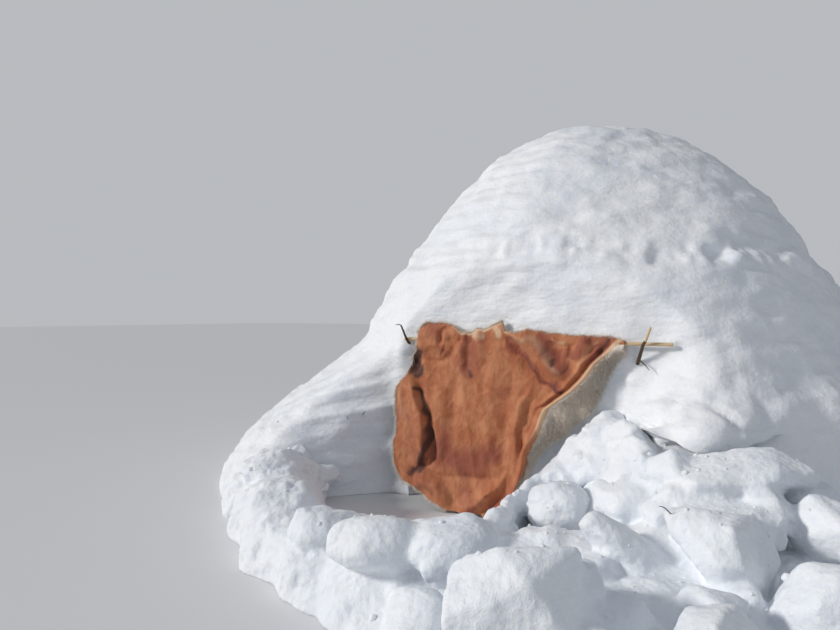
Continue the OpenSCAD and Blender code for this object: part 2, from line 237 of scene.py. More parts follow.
def along_path(points: Array, path: Line) -> tuple[Array, Array, Array]:
    """Distance from points in a plane to a line of straight stretches, and to the nearer end along it.

    Args:
        points: Places, two columns.
        path: Corners of the line.

    Returns:
        The distance to the line, that from the nearest place on it to the nearer of its ends, and a number
        above 0 for points on the right of a line that runs down.
    """
    corners = np.asarray(path, float)
    length = run_length(corners)
    best = np.full(len(points), np.inf)
    place = np.zeros(len(points))
    side = np.zeros(len(points))
    for start, end, before in zip(corners, corners[1:], length):
        run = end - start
        t = np.clip(((points - start) @ run) / (run @ run), 0.0, 1.0)
        away = points - start - t[:, None] * run
        distance = np.linalg.norm(away, axis=1)
        place = np.where(distance < best, before + t * np.linalg.norm(run), place)
        side = np.where(distance < best, run[0] * away[:, 1] - run[1] * away[:, 0], side)
        best = np.minimum(best, distance)
    return best, np.minimum(place, length[-1] - place), side


def grid_faces(rows: int, cols: int, wrap: bool = False, first: int = 0) -> list[tuple[int, ...]]:
    """Quads of a grid of points.

    Args:
        rows: Rows of points.
        cols: Points in a row.
        wrap: True where each row closes on itself.
        first: Index of the grid's first point.

    Returns:
        Corner indices of each quad, turning left as seen with rows rising and columns running right.
    """
    k, i = np.meshgrid(np.arange(rows - 1), np.arange(cols if wrap else cols - 1), indexing="ij")
    a, b = first + k * cols + i, first + k * cols + (i + 1) % cols
    return np.stack([a, b, b + cols, a + cols], axis=-1).reshape(-1, 4).tolist()


def grid_normals(grid: Array) -> Array:
    """Unit normals of a grid of points whose rows close on themselves."""
    along = np.roll(grid, -1, axis=1) - np.roll(grid, 1, axis=1)
    return unit(np.cross(along, np.gradient(grid, axis=0)))


def linked(name: str, data: bpy.types.ID) -> Object:
    """New object in the scene.

    Args:
        name: Name of the object.
        data: Its mesh, lamp or camera.

    Returns:
        The object.
    """
    thing = bpy.data.objects.new(name, data)
    bpy.context.collection.objects.link(thing)
    return thing


def mesh_object(name: str, points: Array, faces: list, smooth: bool = True) -> Object:
    """Object with a mesh of given points and faces.

    Args:
        name: Name of the piece.
        points: Places, one row each.
        faces: Corner indices of each face.
        smooth: True for smooth shading.

    Returns:
        The object, linked to the scene.
    """
    mesh = bpy.data.meshes.new(name)
    mesh.from_pydata(np.asarray(points, float).tolist(), [], faces)
    mesh.validate()
    if smooth:
        mesh.shade_smooth()
    return linked(name, mesh)


def joined(name: str, shapes: list[Shape]) -> Object:
    """One object of many shapes of triangles.

    Args:
        name: Name of the piece.
        shapes: Points and faces of each shape.

    Returns:
        The object.
    """
    faces, start = [], 0
    for points, corners in shapes:
        faces += (np.array(corners) + start).tolist()
        start += len(points)
    return mesh_object(name, np.concatenate([points for points, _ in shapes]), faces)


def ring_solid(name: str, grid: Array) -> Object:
    """Closed object over rings of points, capped at both ends.

    Args:
        name: Name of the object.
        grid: Points as rings, places in a ring and coordinates.

    Returns:
        The object, with its faces turned outward.
    """
    rings, cols = grid.shape[:2]
    caps = [list(range(cols))[::-1], [(rings - 1) * cols + i for i in range(cols)]]
    solid = mesh_object(name, grid.reshape(-1, 3), grid_faces(rings, cols, True) + caps)
    make_outward(solid)
    return solid


def read_points(piece: Object, what: str = "co") -> Array:
    """Reads an object's points.

    Args:
        piece: The object.
        what: "co" for the places of its points, "normal" for their normals.

    Returns:
        One row for each point.
    """
    flat = np.empty(3 * len(piece.data.vertices))
    piece.data.vertices.foreach_get(what, flat)
    return flat.reshape(-1, 3)


def move_points(piece: Object, points: Array) -> None:
    """Puts an object's points at new places, one row each."""
    piece.data.vertices.foreach_set("co", np.asarray(points, float).ravel())
    piece.data.update()


def set_flat(piece: Object, flat: Array) -> None:
    """Gives each point of a mesh a flat coordinate in metres.

    Args:
        piece: The object.
        flat: Two columns, one row for each point.
    """
    layer = piece.data.uv_layers.new(name="flat")
    corners = np.empty(len(piece.data.loops), dtype=np.int64)
    piece.data.loops.foreach_get("vertex_index", corners)
    layer.data.foreach_set("uv", flat[corners].ravel())


def apply_modifier(piece: Object, kind: str, **settings: object) -> None:
    """Adds a modifier, applies it and keeps the result as the object's mesh.

    Args:
        piece: The object.
        kind: Blender's name of the modifier's type.
        settings: Values of the modifier's properties.
    """
    modifier = piece.modifiers.new(kind.lower(), kind)
    for key, value in settings.items():
        setattr(modifier, key, value)
    bpy.context.view_layer.update()
    done = piece.evaluated_get(bpy.context.evaluated_depsgraph_get())
    mesh = bpy.data.meshes.new_from_object(done)
    piece.modifiers.remove(modifier)
    old = piece.data
    piece.data = mesh
    bpy.data.meshes.remove(old)


def cut_away(piece: Object, tool: Object) -> None:
    """Cuts one closed object out of another and removes the tool.

    Args:
        piece: The object that is cut.
        tool: The object that is taken away.
    """
    apply_modifier(piece, "BOOLEAN", operation="DIFFERENCE", solver="EXACT", object=tool)
    bpy.data.objects.remove(tool)


def make_outward(piece: Object) -> None:
    """Turns all faces of a closed mesh outward.

    Args:
        piece: The object with the mesh.
    """
    work = bmesh.new()
    work.from_mesh(piece.data)
    bmesh.ops.recalc_face_normals(work, faces=work.faces)
    work.to_mesh(piece.data)
    work.free()


def taken(work: bmesh.types.BMesh) -> Shape:
    """Takes the shape out of a working mesh, which is then freed.

    Args:
        work: The working mesh.

    Returns:
        Its points and faces.
    """
    points = np.array([v.co[:] for v in work.verts])
    faces = [[v.index for v in f.verts] for f in work.faces]
    work.free()
    return points, faces


class Net:
    """A node tree under construction."""

    def __init__(self, tree: NodeTree) -> None:
        """Starts on a tree, which is kept as it is."""
        self.tree = tree

    def feed(self, node: Node, key: str | int, value: object) -> None:
        """Links an output to a node's input, or gives the input a plain value.

        Args:
            node: The node.
            key: Name or index of its input.
            value: Value, or output to link.
        """
        if isinstance(value, NodeSocket):
            self.tree.links.new(value, node.inputs[key])
        else:
            node.inputs[key].default_value = value

    def add(self, kind: str, sockets: dict | None = None, **settings: object) -> Node:
        """Adds a node.

        Args:
            kind: Type of the node without its ShaderNode prefix.
            sockets: Value, or output to link, for each input by name or index.
            settings: Values of the node's properties.

        Returns:
            The new node.
        """
        node = self.tree.nodes.new("ShaderNode" + kind)
        for key, value in settings.items():
            setattr(node, key, value)
        for key, value in (sockets or {}).items():
            self.feed(node, key, value)
        return node

    def noise(self, vector: NodeSocket, scale: object, detail: float, distortion: float = 0.0) -> NodeSocket:
        """Adds a noise texture, with its lumps in a metre, its octaves and how far it is bent."""
        sockets = {"Vector": vector, "Scale": scale, "Detail": detail, "Distortion": distortion}
        return self.add("TexNoise", sockets).outputs["Fac"]

    def ramp(self, value: NodeSocket, low: object, high: object) -> NodeSocket:
        """Adds a smooth step of a value, from 0 at low to 1 at high."""
        sockets = {"Value": value, "From Min": low, "From Max": high}
        return self.add("MapRange", sockets, interpolation_type="SMOOTHSTEP").outputs["Result"]

    def math(self, operation: str, a: object, b: object) -> NodeSocket:
        """Adds a calculation with two values, by Blender's name of it."""
        return self.add("Math", {0: a, 1: b}, operation=operation).outputs[0]

    def times(self, a: object, b: object) -> NodeSocket:
        """Adds a product of two values."""
        return self.math("MULTIPLY", a, b)

    def scaled(self, vector: NodeSocket, scale: object) -> NodeSocket:
        """Adds a product of two vectors, axis by axis."""
        return self.add("VectorMath", {0: vector, 1: scale}, operation="MULTIPLY").outputs[0]

    def blend(self, share: object, a: object, b: object) -> NodeSocket:
        """Adds a mix of two colours at a share of the second one."""
        return self.add("Mix", {0: share, 6: a, 7: b}, data_type="RGBA").outputs[2]

    def tint(self, colour: object, tint: Point, mask: NodeSocket, amount: float) -> NodeSocket:
        """Lays a tint over a colour, as strongly as a mask times an amount says."""
        return self.blend(self.times(mask, amount), colour, rgba(tint))


class Effect(Enum):
    """Effects that more than one finish uses, each a node group."""

    GRAIN = "Grain"
    MOTTLE = "Mottle"
    STREAKS = "Streaks"


class EffectGroups:
    """Builds the shared node groups once."""

    def __init__(self) -> None:
        """Builds the groups."""
        self.groups = {Effect.GRAIN: self.grain(), Effect.MOTTLE: self.mottle(),
                       Effect.STREAKS: self.streaks()}

    def start(self, effect: Effect, outputs: tuple[str, ...],
              **inputs: float) -> tuple[Net, object, Node]:
        """Starts a group with a vector input and its other sockets.

        Args:
            effect: The effect.
            outputs: Names of the grey outputs.
            inputs: Default of each further input.

        Returns:
            The net, the sockets that the group is given, and the output node.
        """
        tree = bpy.data.node_groups.new(effect.value, "ShaderNodeTree")
        tree.interface.new_socket("Vector", in_out="INPUT", socket_type="NodeSocketVector")
        for name, default in inputs.items():
            socket = tree.interface.new_socket(name, in_out="INPUT", socket_type="NodeSocketFloat")
            socket.default_value = default
        for name in outputs:
            tree.interface.new_socket(name, in_out="OUTPUT", socket_type="NodeSocketFloat")
        return Net(tree), tree.nodes.new("NodeGroupInput").outputs, tree.nodes.new("NodeGroupOutput")

    def grain(self) -> NodeTree:
        """Builds the grain of snow or leather: coarse crumbs with finer ones on them.

        Returns:
            The group.
        """
        net, given, sink = self.start(Effect.GRAIN, ("Height", "Mask"), Scale=100.0)
        coarse = net.noise(given["Vector"], given["Scale"], 2.0)
        fine = net.noise(given["Vector"], net.times(given["Scale"], 4.3), 2.0)
        net.feed(sink, "Height", net.math("ADD", net.times(coarse, 0.7), net.times(fine, 0.3)))
        net.feed(sink, "Mask", net.ramp(coarse, 0.42, 0.62))
        return net.tree

    def mottle(self) -> NodeTree:
        """Builds soft patches of uneven size.

        Returns:
            The group.
        """
        net, given, sink = self.start(Effect.MOTTLE, ("Mask",), Scale=5.0, Low=0.4, High=0.65)
        value = net.noise(given["Vector"], given["Scale"], 5.0, 0.6)
        net.feed(sink, "Mask", net.ramp(value, given["Low"], given["High"]))
        return net.tree

    def streaks(self) -> NodeTree:
        """Builds long streaks along the vector's second axis.

        Returns:
            The group.
        """
        net, given, sink = self.start(Effect.STREAKS, ("Value",), Scale=60.0, Stretch=0.1)
        stretch = net.add("CombineXYZ", {"X": 1.0, "Y": given["Stretch"], "Z": 1.0}).outputs[0]
        net.feed(sink, "Value", net.noise(net.scaled(given["Vector"], stretch), given["Scale"], 4.0, 0.4))
        return net.tree


class Paint(Net):
    """A material under construction, with the shared effects at hand."""

    def __init__(self, name: str, effects: EffectGroups | None = None, coordinates: str = "UV") -> None:
        """Starts a material.

        Args:
            name: Name of the finish.
            effects: The shared node groups.
            coordinates: UV for the flat coordinates of a sheet or stick, Object for places in space.
        """
        self.material = bpy.data.materials.new(name)
        self.material.use_nodes = True
        super().__init__(self.material.node_tree)
        self.effects = effects
        self.shader = self.tree.nodes["Principled BSDF"]
        self.place = self.add("TexCoord").outputs[coordinates]

    def placed(self, effect: Effect, **sockets: float) -> object:
        """Outputs of an effect that is placed on the material's coordinates."""
        group = self.effects.groups[effect]
        return self.add("Group", {"Vector": self.place, **sockets}, node_tree=group).outputs

    def grain(self, scale: float) -> tuple[NodeSocket, NodeSocket]:
        """Places grain and returns its height and its mask."""
        found = self.placed(Effect.GRAIN, Scale=scale)
        return found["Height"], found["Mask"]

    def mottle(self, scale: float, low: float, high: float) -> NodeSocket:
        """Places soft patches, which begin at low and are full at high."""
        return self.placed(Effect.MOTTLE, Scale=scale, Low=low, High=high)["Mask"]

    def streaks(self, scale: float, stretch: float) -> NodeSocket:
        """Places streaks, the longer the smaller the stretch."""
        return self.placed(Effect.STREAKS, Scale=scale, Stretch=stretch)["Value"]

    def bump(self, height: NodeSocket, strength: float, distance: float, **under: NodeSocket) -> NodeSocket:
        """Adds relief from a height, over a coarser relief where its Normal is given."""
        sockets = {"Height": height, "Strength": strength, "Distance": distance, **under}
        return self.add("Bump", sockets).outputs["Normal"]

    def done(self, sockets: dict[str, object]) -> Material:
        """Feeds the shader by the names of its inputs, and hands over the material."""
        for key, value in sockets.items():
            self.feed(self.shader, key, value)
        return self.material


def rgba(colour: Point) -> tuple[float, ...]:
    """Colour with full opacity."""
    return (*colour, 1.0)


@dataclass(frozen=True)
class SnowFinish:
    """Snow: near white, a little bluer where it is pressed and damp, with a crumbly grain."""

    name: str
    colour: Point = (0.86, 0.88, 0.91)
    pressed: Point = (0.74, 0.79, 0.86)
    grain_scale: float = 55.0
    grain_depth: float = 0.006
    lump_scale: float = 7.0
    lump_squash: float = 2.2
    lump_depth: float = 0.035
    patch_scale: float = 2.2
    roughness: float = 0.62
    glow: float = 0.25
    glow_reach: Point = (0.03, 0.035, 0.045)

    def build(self, effects: EffectGroups) -> Material:
        """Builds the material from the shared node groups.

        Args:
            effects: The node groups.

        Returns:
            The material.
        """
        paint = Paint(self.name, effects, "Object")
        height, crumbs = paint.grain(self.grain_scale)
        damp = paint.mottle(self.patch_scale, 0.38, 0.7)
        colour = paint.tint(rgba(self.colour), self.pressed, damp, 0.55)
        lumps = paint.noise(paint.scaled(paint.place, (1.0, 1.0, self.lump_squash)), self.lump_scale, 2.0)
        coarse = paint.bump(lumps, 0.5, self.lump_depth)
        return paint.done({
            "Base Color": paint.tint(colour, self.pressed, crumbs, 0.12),
            "Roughness": paint.math("SUBTRACT", self.roughness, paint.times(crumbs, 0.12)),
            "Normal": paint.bump(height, 0.8, self.grain_depth, Normal=coarse),
            "Subsurface Weight": self.glow, "Subsurface Radius": self.glow_reach, "Subsurface Scale": 0.6,
            "Specular IOR Level": 0.35})


@dataclass(frozen=True)
class SkinFinish:
    """Skin side of the hide: rusty suede with paler and darker streaks running down it."""

    name: str
    colour: Point = (0.42, 0.138, 0.058)
    pale: Point = (0.60, 0.27, 0.132)
    dark: Point = (0.20, 0.055, 0.035)
    # Red of random patches and marks; along grooves these marks are painted shade.
    crimson_stain_and_shade: Point = (0.245, 0.062, 0.042)
    # Nearly black: random nicks, and painted shade in creases, grooves and hollows.
    speck_and_shade_colour: Point = (0.055, 0.022, 0.02)
    # Pale of rubbed fur and the cut edge, also painted highlight on ridges and on the rolled edge.
    pale_and_highlight: Point = (0.72, 0.52, 0.34)

    def build(self, effects: EffectGroups) -> Material:
        """Builds the material, with the marks that the sheet carries: red patches, partly painted shade along
        grooves; pale patches, partly painted highlight on ridges; and painted shade in creases and hollows.

        Args:
            effects: The node groups.

        Returns:
            The material.
        """
        paint = Paint(self.name, effects)
        streak, veins = paint.streaks(24.0, 0.3), paint.streaks(75.0, 0.35)
        colour = rgba(self.colour)
        for mask, tint, amount in ((paint.mottle(5.0, 0.47, 0.66), self.pale, 0.5),
                                   (paint.mottle(13.0, 0.45, 0.62), self.pale, 0.4),
                                   (paint.mottle(3.1, 0.5, 0.7), self.crimson_stain_and_shade, 0.55),
                                   (paint.ramp(streak, 0.52, 0.72), self.pale, 0.35),
                                   (paint.ramp(veins, 0.56, 0.72), self.dark, 0.32)):
            colour = paint.tint(colour, tint, mask, amount)
        uneven = paint.math("ADD", paint.times(streak, 0.9), 0.5)
        # Stored marks: red patches, partly painted shade; pale patches, partly painted highlight; and painted
        # shade.
        for name, tint, amount in (("stain_and_shade", self.crimson_stain_and_shade, 0.72), ("pale_and_highlight", self.pale_and_highlight, 0.75),
                                   ("painted_shade", self.speck_and_shade_colour, 0.9)):
            mark = paint.times(paint.add("Attribute", attribute_name=name).outputs["Fac"], uneven)
            colour = paint.tint(colour, tint, paint.ramp(mark, 0.12, 0.85), amount)
        nicks = paint.ramp(paint.noise(paint.place, 34.0, 2.0), 0.72, 0.78)
        relief = paint.math("ADD", paint.times(veins, 0.7), paint.times(paint.grain(170.0)[0], 0.3))
        rough = paint.add("MapRange", {"Value": streak, "To Min": 0.55, "To Max": 0.85})
        return paint.done({
            "Base Color": paint.tint(colour, self.speck_and_shade_colour, nicks, 0.7), "Roughness": rough.outputs["Result"],
            "Normal": paint.bump(relief, 0.7, 0.006), "Sheen Weight": 0.1, "Specular IOR Level": 0.3})


@dataclass(frozen=True)
class FurFinish:
    """Winter fur on the other side of the hide, grey brown with paler roots."""

    name: str
    colour: Point = (0.80, 0.70, 0.59)
    pale: Point = (0.93, 0.88, 0.81)

    def build(self, effects: EffectGroups) -> Material:
        """Builds the material from the shared node groups.

        Args:
            effects: The node groups.

        Returns:
            The material.
        """
        paint = Paint(self.name, effects)
        hairs = paint.streaks(260.0, 0.12)
        colour = paint.tint(rgba(self.colour), self.pale, paint.ramp(hairs, 0.4, 0.65), 0.7)
        colour = paint.tint(colour, self.colour, paint.mottle(7.0, 0.4, 0.65), 0.5)
        return paint.done({"Base Color": colour, "Normal": paint.bump(hairs, 0.6, 0.006), "Roughness": 0.8})


@dataclass(frozen=True)
class WoodFinish:
    """Peeled stick or bark, with fibres along its length."""

    name: str
    colour: Point
    dark: Point
    fibre_scale: float = 90.0
    relief: float = 0.0012

    def build(self, effects: EffectGroups) -> Material:
        """Builds the material from the shared node groups.

        Args:
            effects: The node groups.

        Returns:
            The material.
        """
        paint = Paint(self.name, effects)
        fibres = paint.streaks(self.fibre_scale, 0.08)
        colour = paint.tint(rgba(self.colour), self.dark, paint.ramp(fibres, 0.42, 0.68), 0.6)
        colour = paint.tint(colour, self.dark, paint.mottle(14.0, 0.5, 0.7), 0.5)
        relief = paint.bump(fibres, 0.9, self.relief)
        return paint.done({"Base Color": colour, "Normal": relief, "Roughness": 0.7})


@dataclass
class MoundForm:
    """Shape of the mound round its axis: skins as radii at an angle in degrees and a height."""

    height: float = 2.48
    radius: float = 1.915
    bell_power: float = 1.6
    toe_spread: float = 0.88
    toe_top: float = 0.91
    toe_fall: float = 0.585
    toe_power: float = 1.5
    seam_z: float = 1.4
    seam_step: float = 0.03
    seam_soft: float = 0.06
    patting: float = 0.03
    waves: Rows = ((1.0, 3, 3.24, 175), (0.65, 5, -1.98, 207), (0.3, 2, 1.44, 54))
    crown_fade: float = 0.7
    wall: float = 0.615
    cave_height: float = 2.08
    face_depth: float = 0.415
    face_left: float = 0.85
    cheek_foot: float = 0.04
    cheek_lean: float = 0.86
    cheek_turn: float = 8.0
    toe_left: float = 0.25
    heap_angle: float = -60.0
    heap_half: float = 46.0
    heap_soft: float = 24.0
    foot: float = 0.50
    pillow_out: float = 0.11
    pillow_angle: float = -63.0
    pillow_half: float = 15.0
    pillow_rise: float = 0.12
    pillow_tall: float = 0.15

    @property
    def face_y(self) -> float:
        """Distance from the axis to the flat face of the entrance."""
        return self.radius - self.face_depth

    def bell(self, z: Array) -> Array:
        """Radius of the bell at a height."""
        share = np.clip(z / self.height, 0.0, 1.0)
        return self.radius * np.sqrt(np.maximum(0.0, 1.0 - share**self.bell_power))

    def toe(self, a: Array, z: Array) -> Array:
        """How far the loose toe stands out beyond the bell.

        Args:
            a: Angles round the axis.
            z: Heights.

        Returns:
            The extra radius.
        """
        drop = np.maximum(0.0, self.toe_top - z) / self.toe_fall
        by_heap = ease((self.heap_half - np.abs(a - self.heap_angle)) / self.heap_soft)
        spread = self.toe_spread * (1.0 - np.exp(-(drop**self.toe_power)))
        return spread * (1.0 - (1.0 - self.toe_left) * by_heap)

    def pillow_share(self, a: Array, z: Array) -> Array:
        """Share of the pillow on the right flank, 1 at its fullest, before its lower lip.

        Args:
            a: Angles round the axis.
            z: Heights.

        Returns:
            The share.
        """
        over = np.maximum(0.0, z - self.foot - self.pillow_rise) / self.pillow_tall
        return np.exp(-(((a - self.pillow_angle) / self.pillow_half) ** 2) - over**2)

    def flank(self, a: Array, z: Array) -> Array:
        """Radius of the snow before the entrance is cut.

        Args:
            a: Angles round the axis.
            z: Heights.

        Returns:
            The radius.
        """
        bell = self.bell(z)
        fade = np.clip(bell / self.crown_fade, 0.0, 1.0)
        turn = np.radians(a)
        lift = 2.0 * math.pi * z
        waves = sum(share * np.sin(count * turn + lift / tall + math.radians(phase))
                    for share, count, tall, phase in self.waves)
        seam = self.seam_step * (1.0 - ease((z - self.seam_z) / self.seam_soft + 0.5))
        pillow = self.pillow_out * ease((z - self.foot) / self.pillow_rise) * self.pillow_share(a, z)
        return bell + self.toe(a, z) + pillow + (seam + self.patting * waves) * fade

    def face_share(self, a: Array, z: Array) -> Array:
        """1 on the entrance face, falling to 0 over each cheek.

        Args:
            a: Angles round the axis.
            z: Heights.

        Returns:
            The share.
        """
        left = math.degrees(math.atan2(-self.face_y, -self.face_left))
        right = np.degrees(np.arctan2(-self.face_y, -self.cheek_foot + self.cheek_lean * z))
        return np.minimum(ease((a - left) / self.cheek_turn + 1.0), ease((right - a) / self.cheek_turn + 1.0))

    def outer(self, angle: Array, z: Array) -> Array:
        """Radius of the outer skin, with the entrance cut.

        Args:
            angle: Angles round the axis.
            z: Heights.

        Returns:
            The radius.
        """
        a = signed(angle)
        flank = self.flank(a, z)
        face = self.face_y / np.maximum(0.3, -np.sin(np.radians(a)))
        return mix(flank, np.minimum(flank, face), self.face_share(a, z))

    def inner(self, z: Array) -> Array:
        """Radius of the cave at a height."""
        share = np.clip(z / self.cave_height, 0.0, 1.0)
        return (self.radius - self.wall) * np.sqrt(np.maximum(0.0, 1.0 - share**2))


@dataclass
class Placed:
    """Anything that is worked out round the mound's axis and then moved to where the frame has it."""

    axis_y: float

    def placed(self, points: Array) -> Array:
        """Points round the mound's axis, moved into the frame."""
        return points + np.array([0.0, self.axis_y, 0.0])


@dataclass
class FixedPart(Placed):
    """A part that stays with the hut."""

    def dress(self, piece: Object, slot: str, nodes: tuple[str, ...] = (),
              finish: Material | None = None) -> None:
        """Gives a piece its finish and its place in the frame.

        Args:
            piece: The piece.
            slot: The record's material slot; not used.
            nodes: The solids that it stands for.
            finish: Its finish, where it has none yet.
        """
        if finish:
            piece.data.materials.append(finish)
        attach(piece, "snow_hut")
        if nodes:
            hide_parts(*nodes)
        log.info("%s: %d faces", piece.name, len(piece.data.polygons))


@dataclass
class SnowMound(FixedPart):
    """The hollow mound: one sculpted skin outside, a scraped cave inside, and the doorway cut through."""

    form: MoundForm
    nodes: tuple[str, ...]
    hide_edge: Line
    first_angle: float = -170.0
    rear_angle: float = 15.0
    front_step: float = 0.62
    back_step: float = 1.9
    rows: int = 180
    cave_rows: int = 34
    door_width: float = 0.62
    door_middle: float = -0.39
    door_spring: float = 0.50
    door_rise: float = 0.30
    door_depths: tuple[float, float, int] = (0.12, -0.85, 44)
    mouth_flare: float = 0.045
    mouth_deep: float = 0.035
    back_flare: float = 0.05
    back_y: float = -1.22
    back_deep: float = 0.2
    below_floor: float = -0.05
    face_top: float = 1.35
    ledge_z: float = 1.39
    band_tall: float = 0.085
    lip_z: float = 0.558
    lip_sag: float = 0.032
    pats: Layers = ((0.015, (0.36, 0.36, 0.14), 3), (0.014, (0.19, 0.19, 0.075), 5),
                    (0.007, (0.10, 0.10, 0.042), 7), (0.003, (0.05, 0.05, 0.025), 9))
    furrows: Layers = ((0.016, (0.095, 0.095, 0.9), 31), (0.012, (0.045, 0.045, 0.56), 33))
    slips: Layers = ((0.013, (0.038, 0.42, 1.0), 38), (0.009, (0.075, 0.6, 1.0), 39))
    slip_way: tuple[float, float] = (0.51, 0.86)
    swells: Layers = ((0.03, (0.16, 0.16, 0.11), 53), (0.012, 0.07, 54))
    nose_at: Point = (0.99, -1.80, 0.62)
    nose_size: Point = (0.09, 0.2, 0.06)
    nose_out: float = 0.045
    clots_at: Point = (0.62, -1.66, 0.58)
    clots_size: Point = (0.24, 0.30, 0.22)
    pressed: Line = field(default_factory=lambda: [
        (-0.762, -1.50, 0.900, 0.055, 0.045), (-0.775, -1.50, 0.845, 0.06, 0.03),
        (-1.07, -1.65, 0.43, 0.09, 0.045), (-0.96, -1.56, 0.47, 0.07, 0.03), (-0.94, -1.55, 0.38, 0.08, 0.04),
        (-0.86, -1.50, 0.31, 0.07, 0.035), (-1.13, -1.70, 0.36, 0.08, 0.035),
        (-1.00, -1.60, 0.27, 0.09, 0.04), (-1.17, -1.66, 0.50, 0.06, 0.025),
        (-0.90, -1.52, 0.52, 0.05, 0.02)])

    def angles(self) -> Array:
        """Angles of the columns in degrees, close together on the side of the entrance."""
        last_angle = self.first_angle + 359.5
        return np.r_[self.first_angle:self.rear_angle:self.front_step / DETAIL,
                     self.rear_angle:last_angle:self.back_step / DETAIL]

    def profile(self) -> Array:
        """Heights of the rows, evenly spaced along the flank and closer at the lip of the pillow.

        Returns:
            Heights from the floor to just below the top.
        """
        z = np.linspace(0.0, self.form.height, 4000)
        reach = self.form.bell(z) + self.form.toe(np.full_like(z, 180.0), z)
        length = np.concatenate([[0.0], np.cumsum(np.hypot(np.diff(z), np.diff(reach)))])
        wanted = np.linspace(0.0, length[-1] - 0.02, int(self.rows * DETAIL))
        close = np.linspace(self.lip_z - 0.09, self.lip_z + 0.07, int(16 * DETAIL))
        return np.sort(np.concatenate([np.interp(wanted, length, z), close]))

    def outer_points(self) -> Array:
        """Points of the outer skin with everything that hands and shovels left on it.

        Returns:
            Grid of points, rows from the floor up.
        """
        a, z = np.meshgrid(self.angles(), self.profile())
        r = self.form.outer(a, z)
        grid = polar(r, a, z)
        relief = self.patted(grid.reshape(-1, 3), a.ravel(), z.ravel()).reshape(a.shape)
        lifted = grid + grid_normals(grid) * relief[:, :, None] * ease(z / 0.03)[:, :, None]
        lifted[:, :, 2] -= self.lip_sag * self.lip_share(a, z) * ease((z - self.lip_z) / 0.02)
        lifted[:, :, 2] = np.where(z <= 0.0, 0.0, np.maximum(lifted[:, :, 2], 0.002))
        return lifted

    def patted(self, points: Array, a: Array, z: Array) -> Array:
        """Relief of the outer skin.

        Args:
            points: Places on the plain form.
            a: Their angles.
            z: Their heights.

        Returns:
            How far each point is raised.
        """
        face = self.form.face_share(signed(a), z) * ease((self.face_top - z) / 0.2)
        left_side = window(a, -170.0, 16.0, -104.0, 14.0)
        slid = window(a, -148.0, 8.0, -112.0, 6.0) * window(z, 0.36, 0.12, 1.0, 0.2)
        around = 1.7 * np.stack([np.cos(np.radians(a)), np.sin(np.radians(a)), z / 1.7], axis=1)
        around[:, :2] += 0.10 * noise(points, 0.5, 32)[:, None]
        furrows = layers(around, self.furrows) * (ease((1.25 - z) / 0.6) * (0.45 + 0.55 * left_side))
        arc = np.radians(a) * 1.95
        flat, steep = self.slip_way
        strips = np.stack([flat * arc - steep * z, -steep * arc - flat * z, z * 0.0], axis=1)
        strips[:, 0] += 0.03 * noise(points, 0.35, 37)
        furrows = mix(furrows, layers(strips, self.slips), slid)
        crumbly = 0.012 * np.maximum(0.0, noise(points, 0.055, 35)) + 0.007 * noise(points, 0.028, 36)
        furrows += crumbly * ease((0.62 - z) / 0.25) * left_side
        pats = layers(points, self.pats) * (1.0 - 0.6 * slid)
        bands = 0.0035 * np.sin(z * 2.0 * math.pi / self.band_tall + 2.6 * noise(points, 0.7, 11))
        bands *= ease((z - 1.15) / 0.3) * window(a, -175.0, 20.0, -45.0, 40.0)
        rough = 0.014 * noise(points, (0.17, 0.17, 0.13), 41) * face
        return ((pats + furrows) * (1.0 - 0.75 * face) + bands + self.ledge(points, a, z) + rough
                + self.dabs(points) + self.lip(points, a, z) + self.crumble(points))

    def ledge(self, points: Array, a: Array, z: Array) -> Array:
        """Ledge of puffed snow that runs round the front, above the hide.

        Args:
            points: Places on the plain form.
            a: Their angles.
            z: Their heights.

        Returns:
            How far each point is raised.
        """
        middle = self.ledge_z + 0.09 * ease((-76.0 - a) / 14.0)
        over = z - (middle + 0.03 * noise(points, (0.3, 0.3, 5.0), 21))
        puffs = 0.042 * np.maximum(0.0, noise(points, (0.085, 0.085, 0.2), 25) + 0.2) ** 1.2
        puffs += 0.012 * noise(points, (0.045, 0.045, 0.08), 27)
        step = 0.012 * (1.0 - ease((over + 0.05) / 0.04)) * ease((over + 0.35) / 0.3)
        return (step + puffs * window(over, -0.045, 0.04, 0.14, 0.13)) * window(a, -106.0, 16.0, -8.0, 18.0)

    def dabs(self, points: Array) -> Array:
        """Dabs of snow pressed on by hand, round the foot of the left twig and low beside the doorway.

        Args:
            points: Places on the plain form.

        Returns:
            How far each point is raised.
        """
        raised = np.zeros(len(points))
        for x, y, z, radius, lift in self.pressed:
            away = np.linalg.norm(points - np.array([x, y, z]), axis=1) / radius
            raised = np.maximum(raised, lift * np.exp(-(away**2.6)))
        return raised

    def crumble(self, points: Array) -> Array:
        """Soft clots on the right cheek of the entrance, where snow was thrown against it.

        Args:
            points: Places on the plain form.

        Returns:
            How far each point is raised.
        """
        local = (points - np.array(self.clots_at)) / np.array(self.clots_size)
        clear = ease((points[:, 0] - edge_at(self.hide_edge, points[:, 2]) - 0.02) / 0.09)
        clots = 0.05 * np.maximum(0.0, noise(points, 0.12, 45) + 0.15) ** 1.2
        clots += 0.03 * np.maximum(0.0, noise(points, 0.065, 47)) + 0.006 * noise(points, 0.03, 49)
        return ease(1.7 - np.linalg.norm(local, axis=1)) * clear * clots

    def lip_share(self, a: Array, z: Array) -> Array:
        """Share of the pillow's lower lip, which fades out towards the doorway.

        Args:
            a: Angles round the axis.
            z: Heights.

        Returns:
            The share.
        """
        turn = signed(a)
        return self.form.pillow_share(turn, z) * window(turn, -77.0, 5.0, -50.0, 6.0)

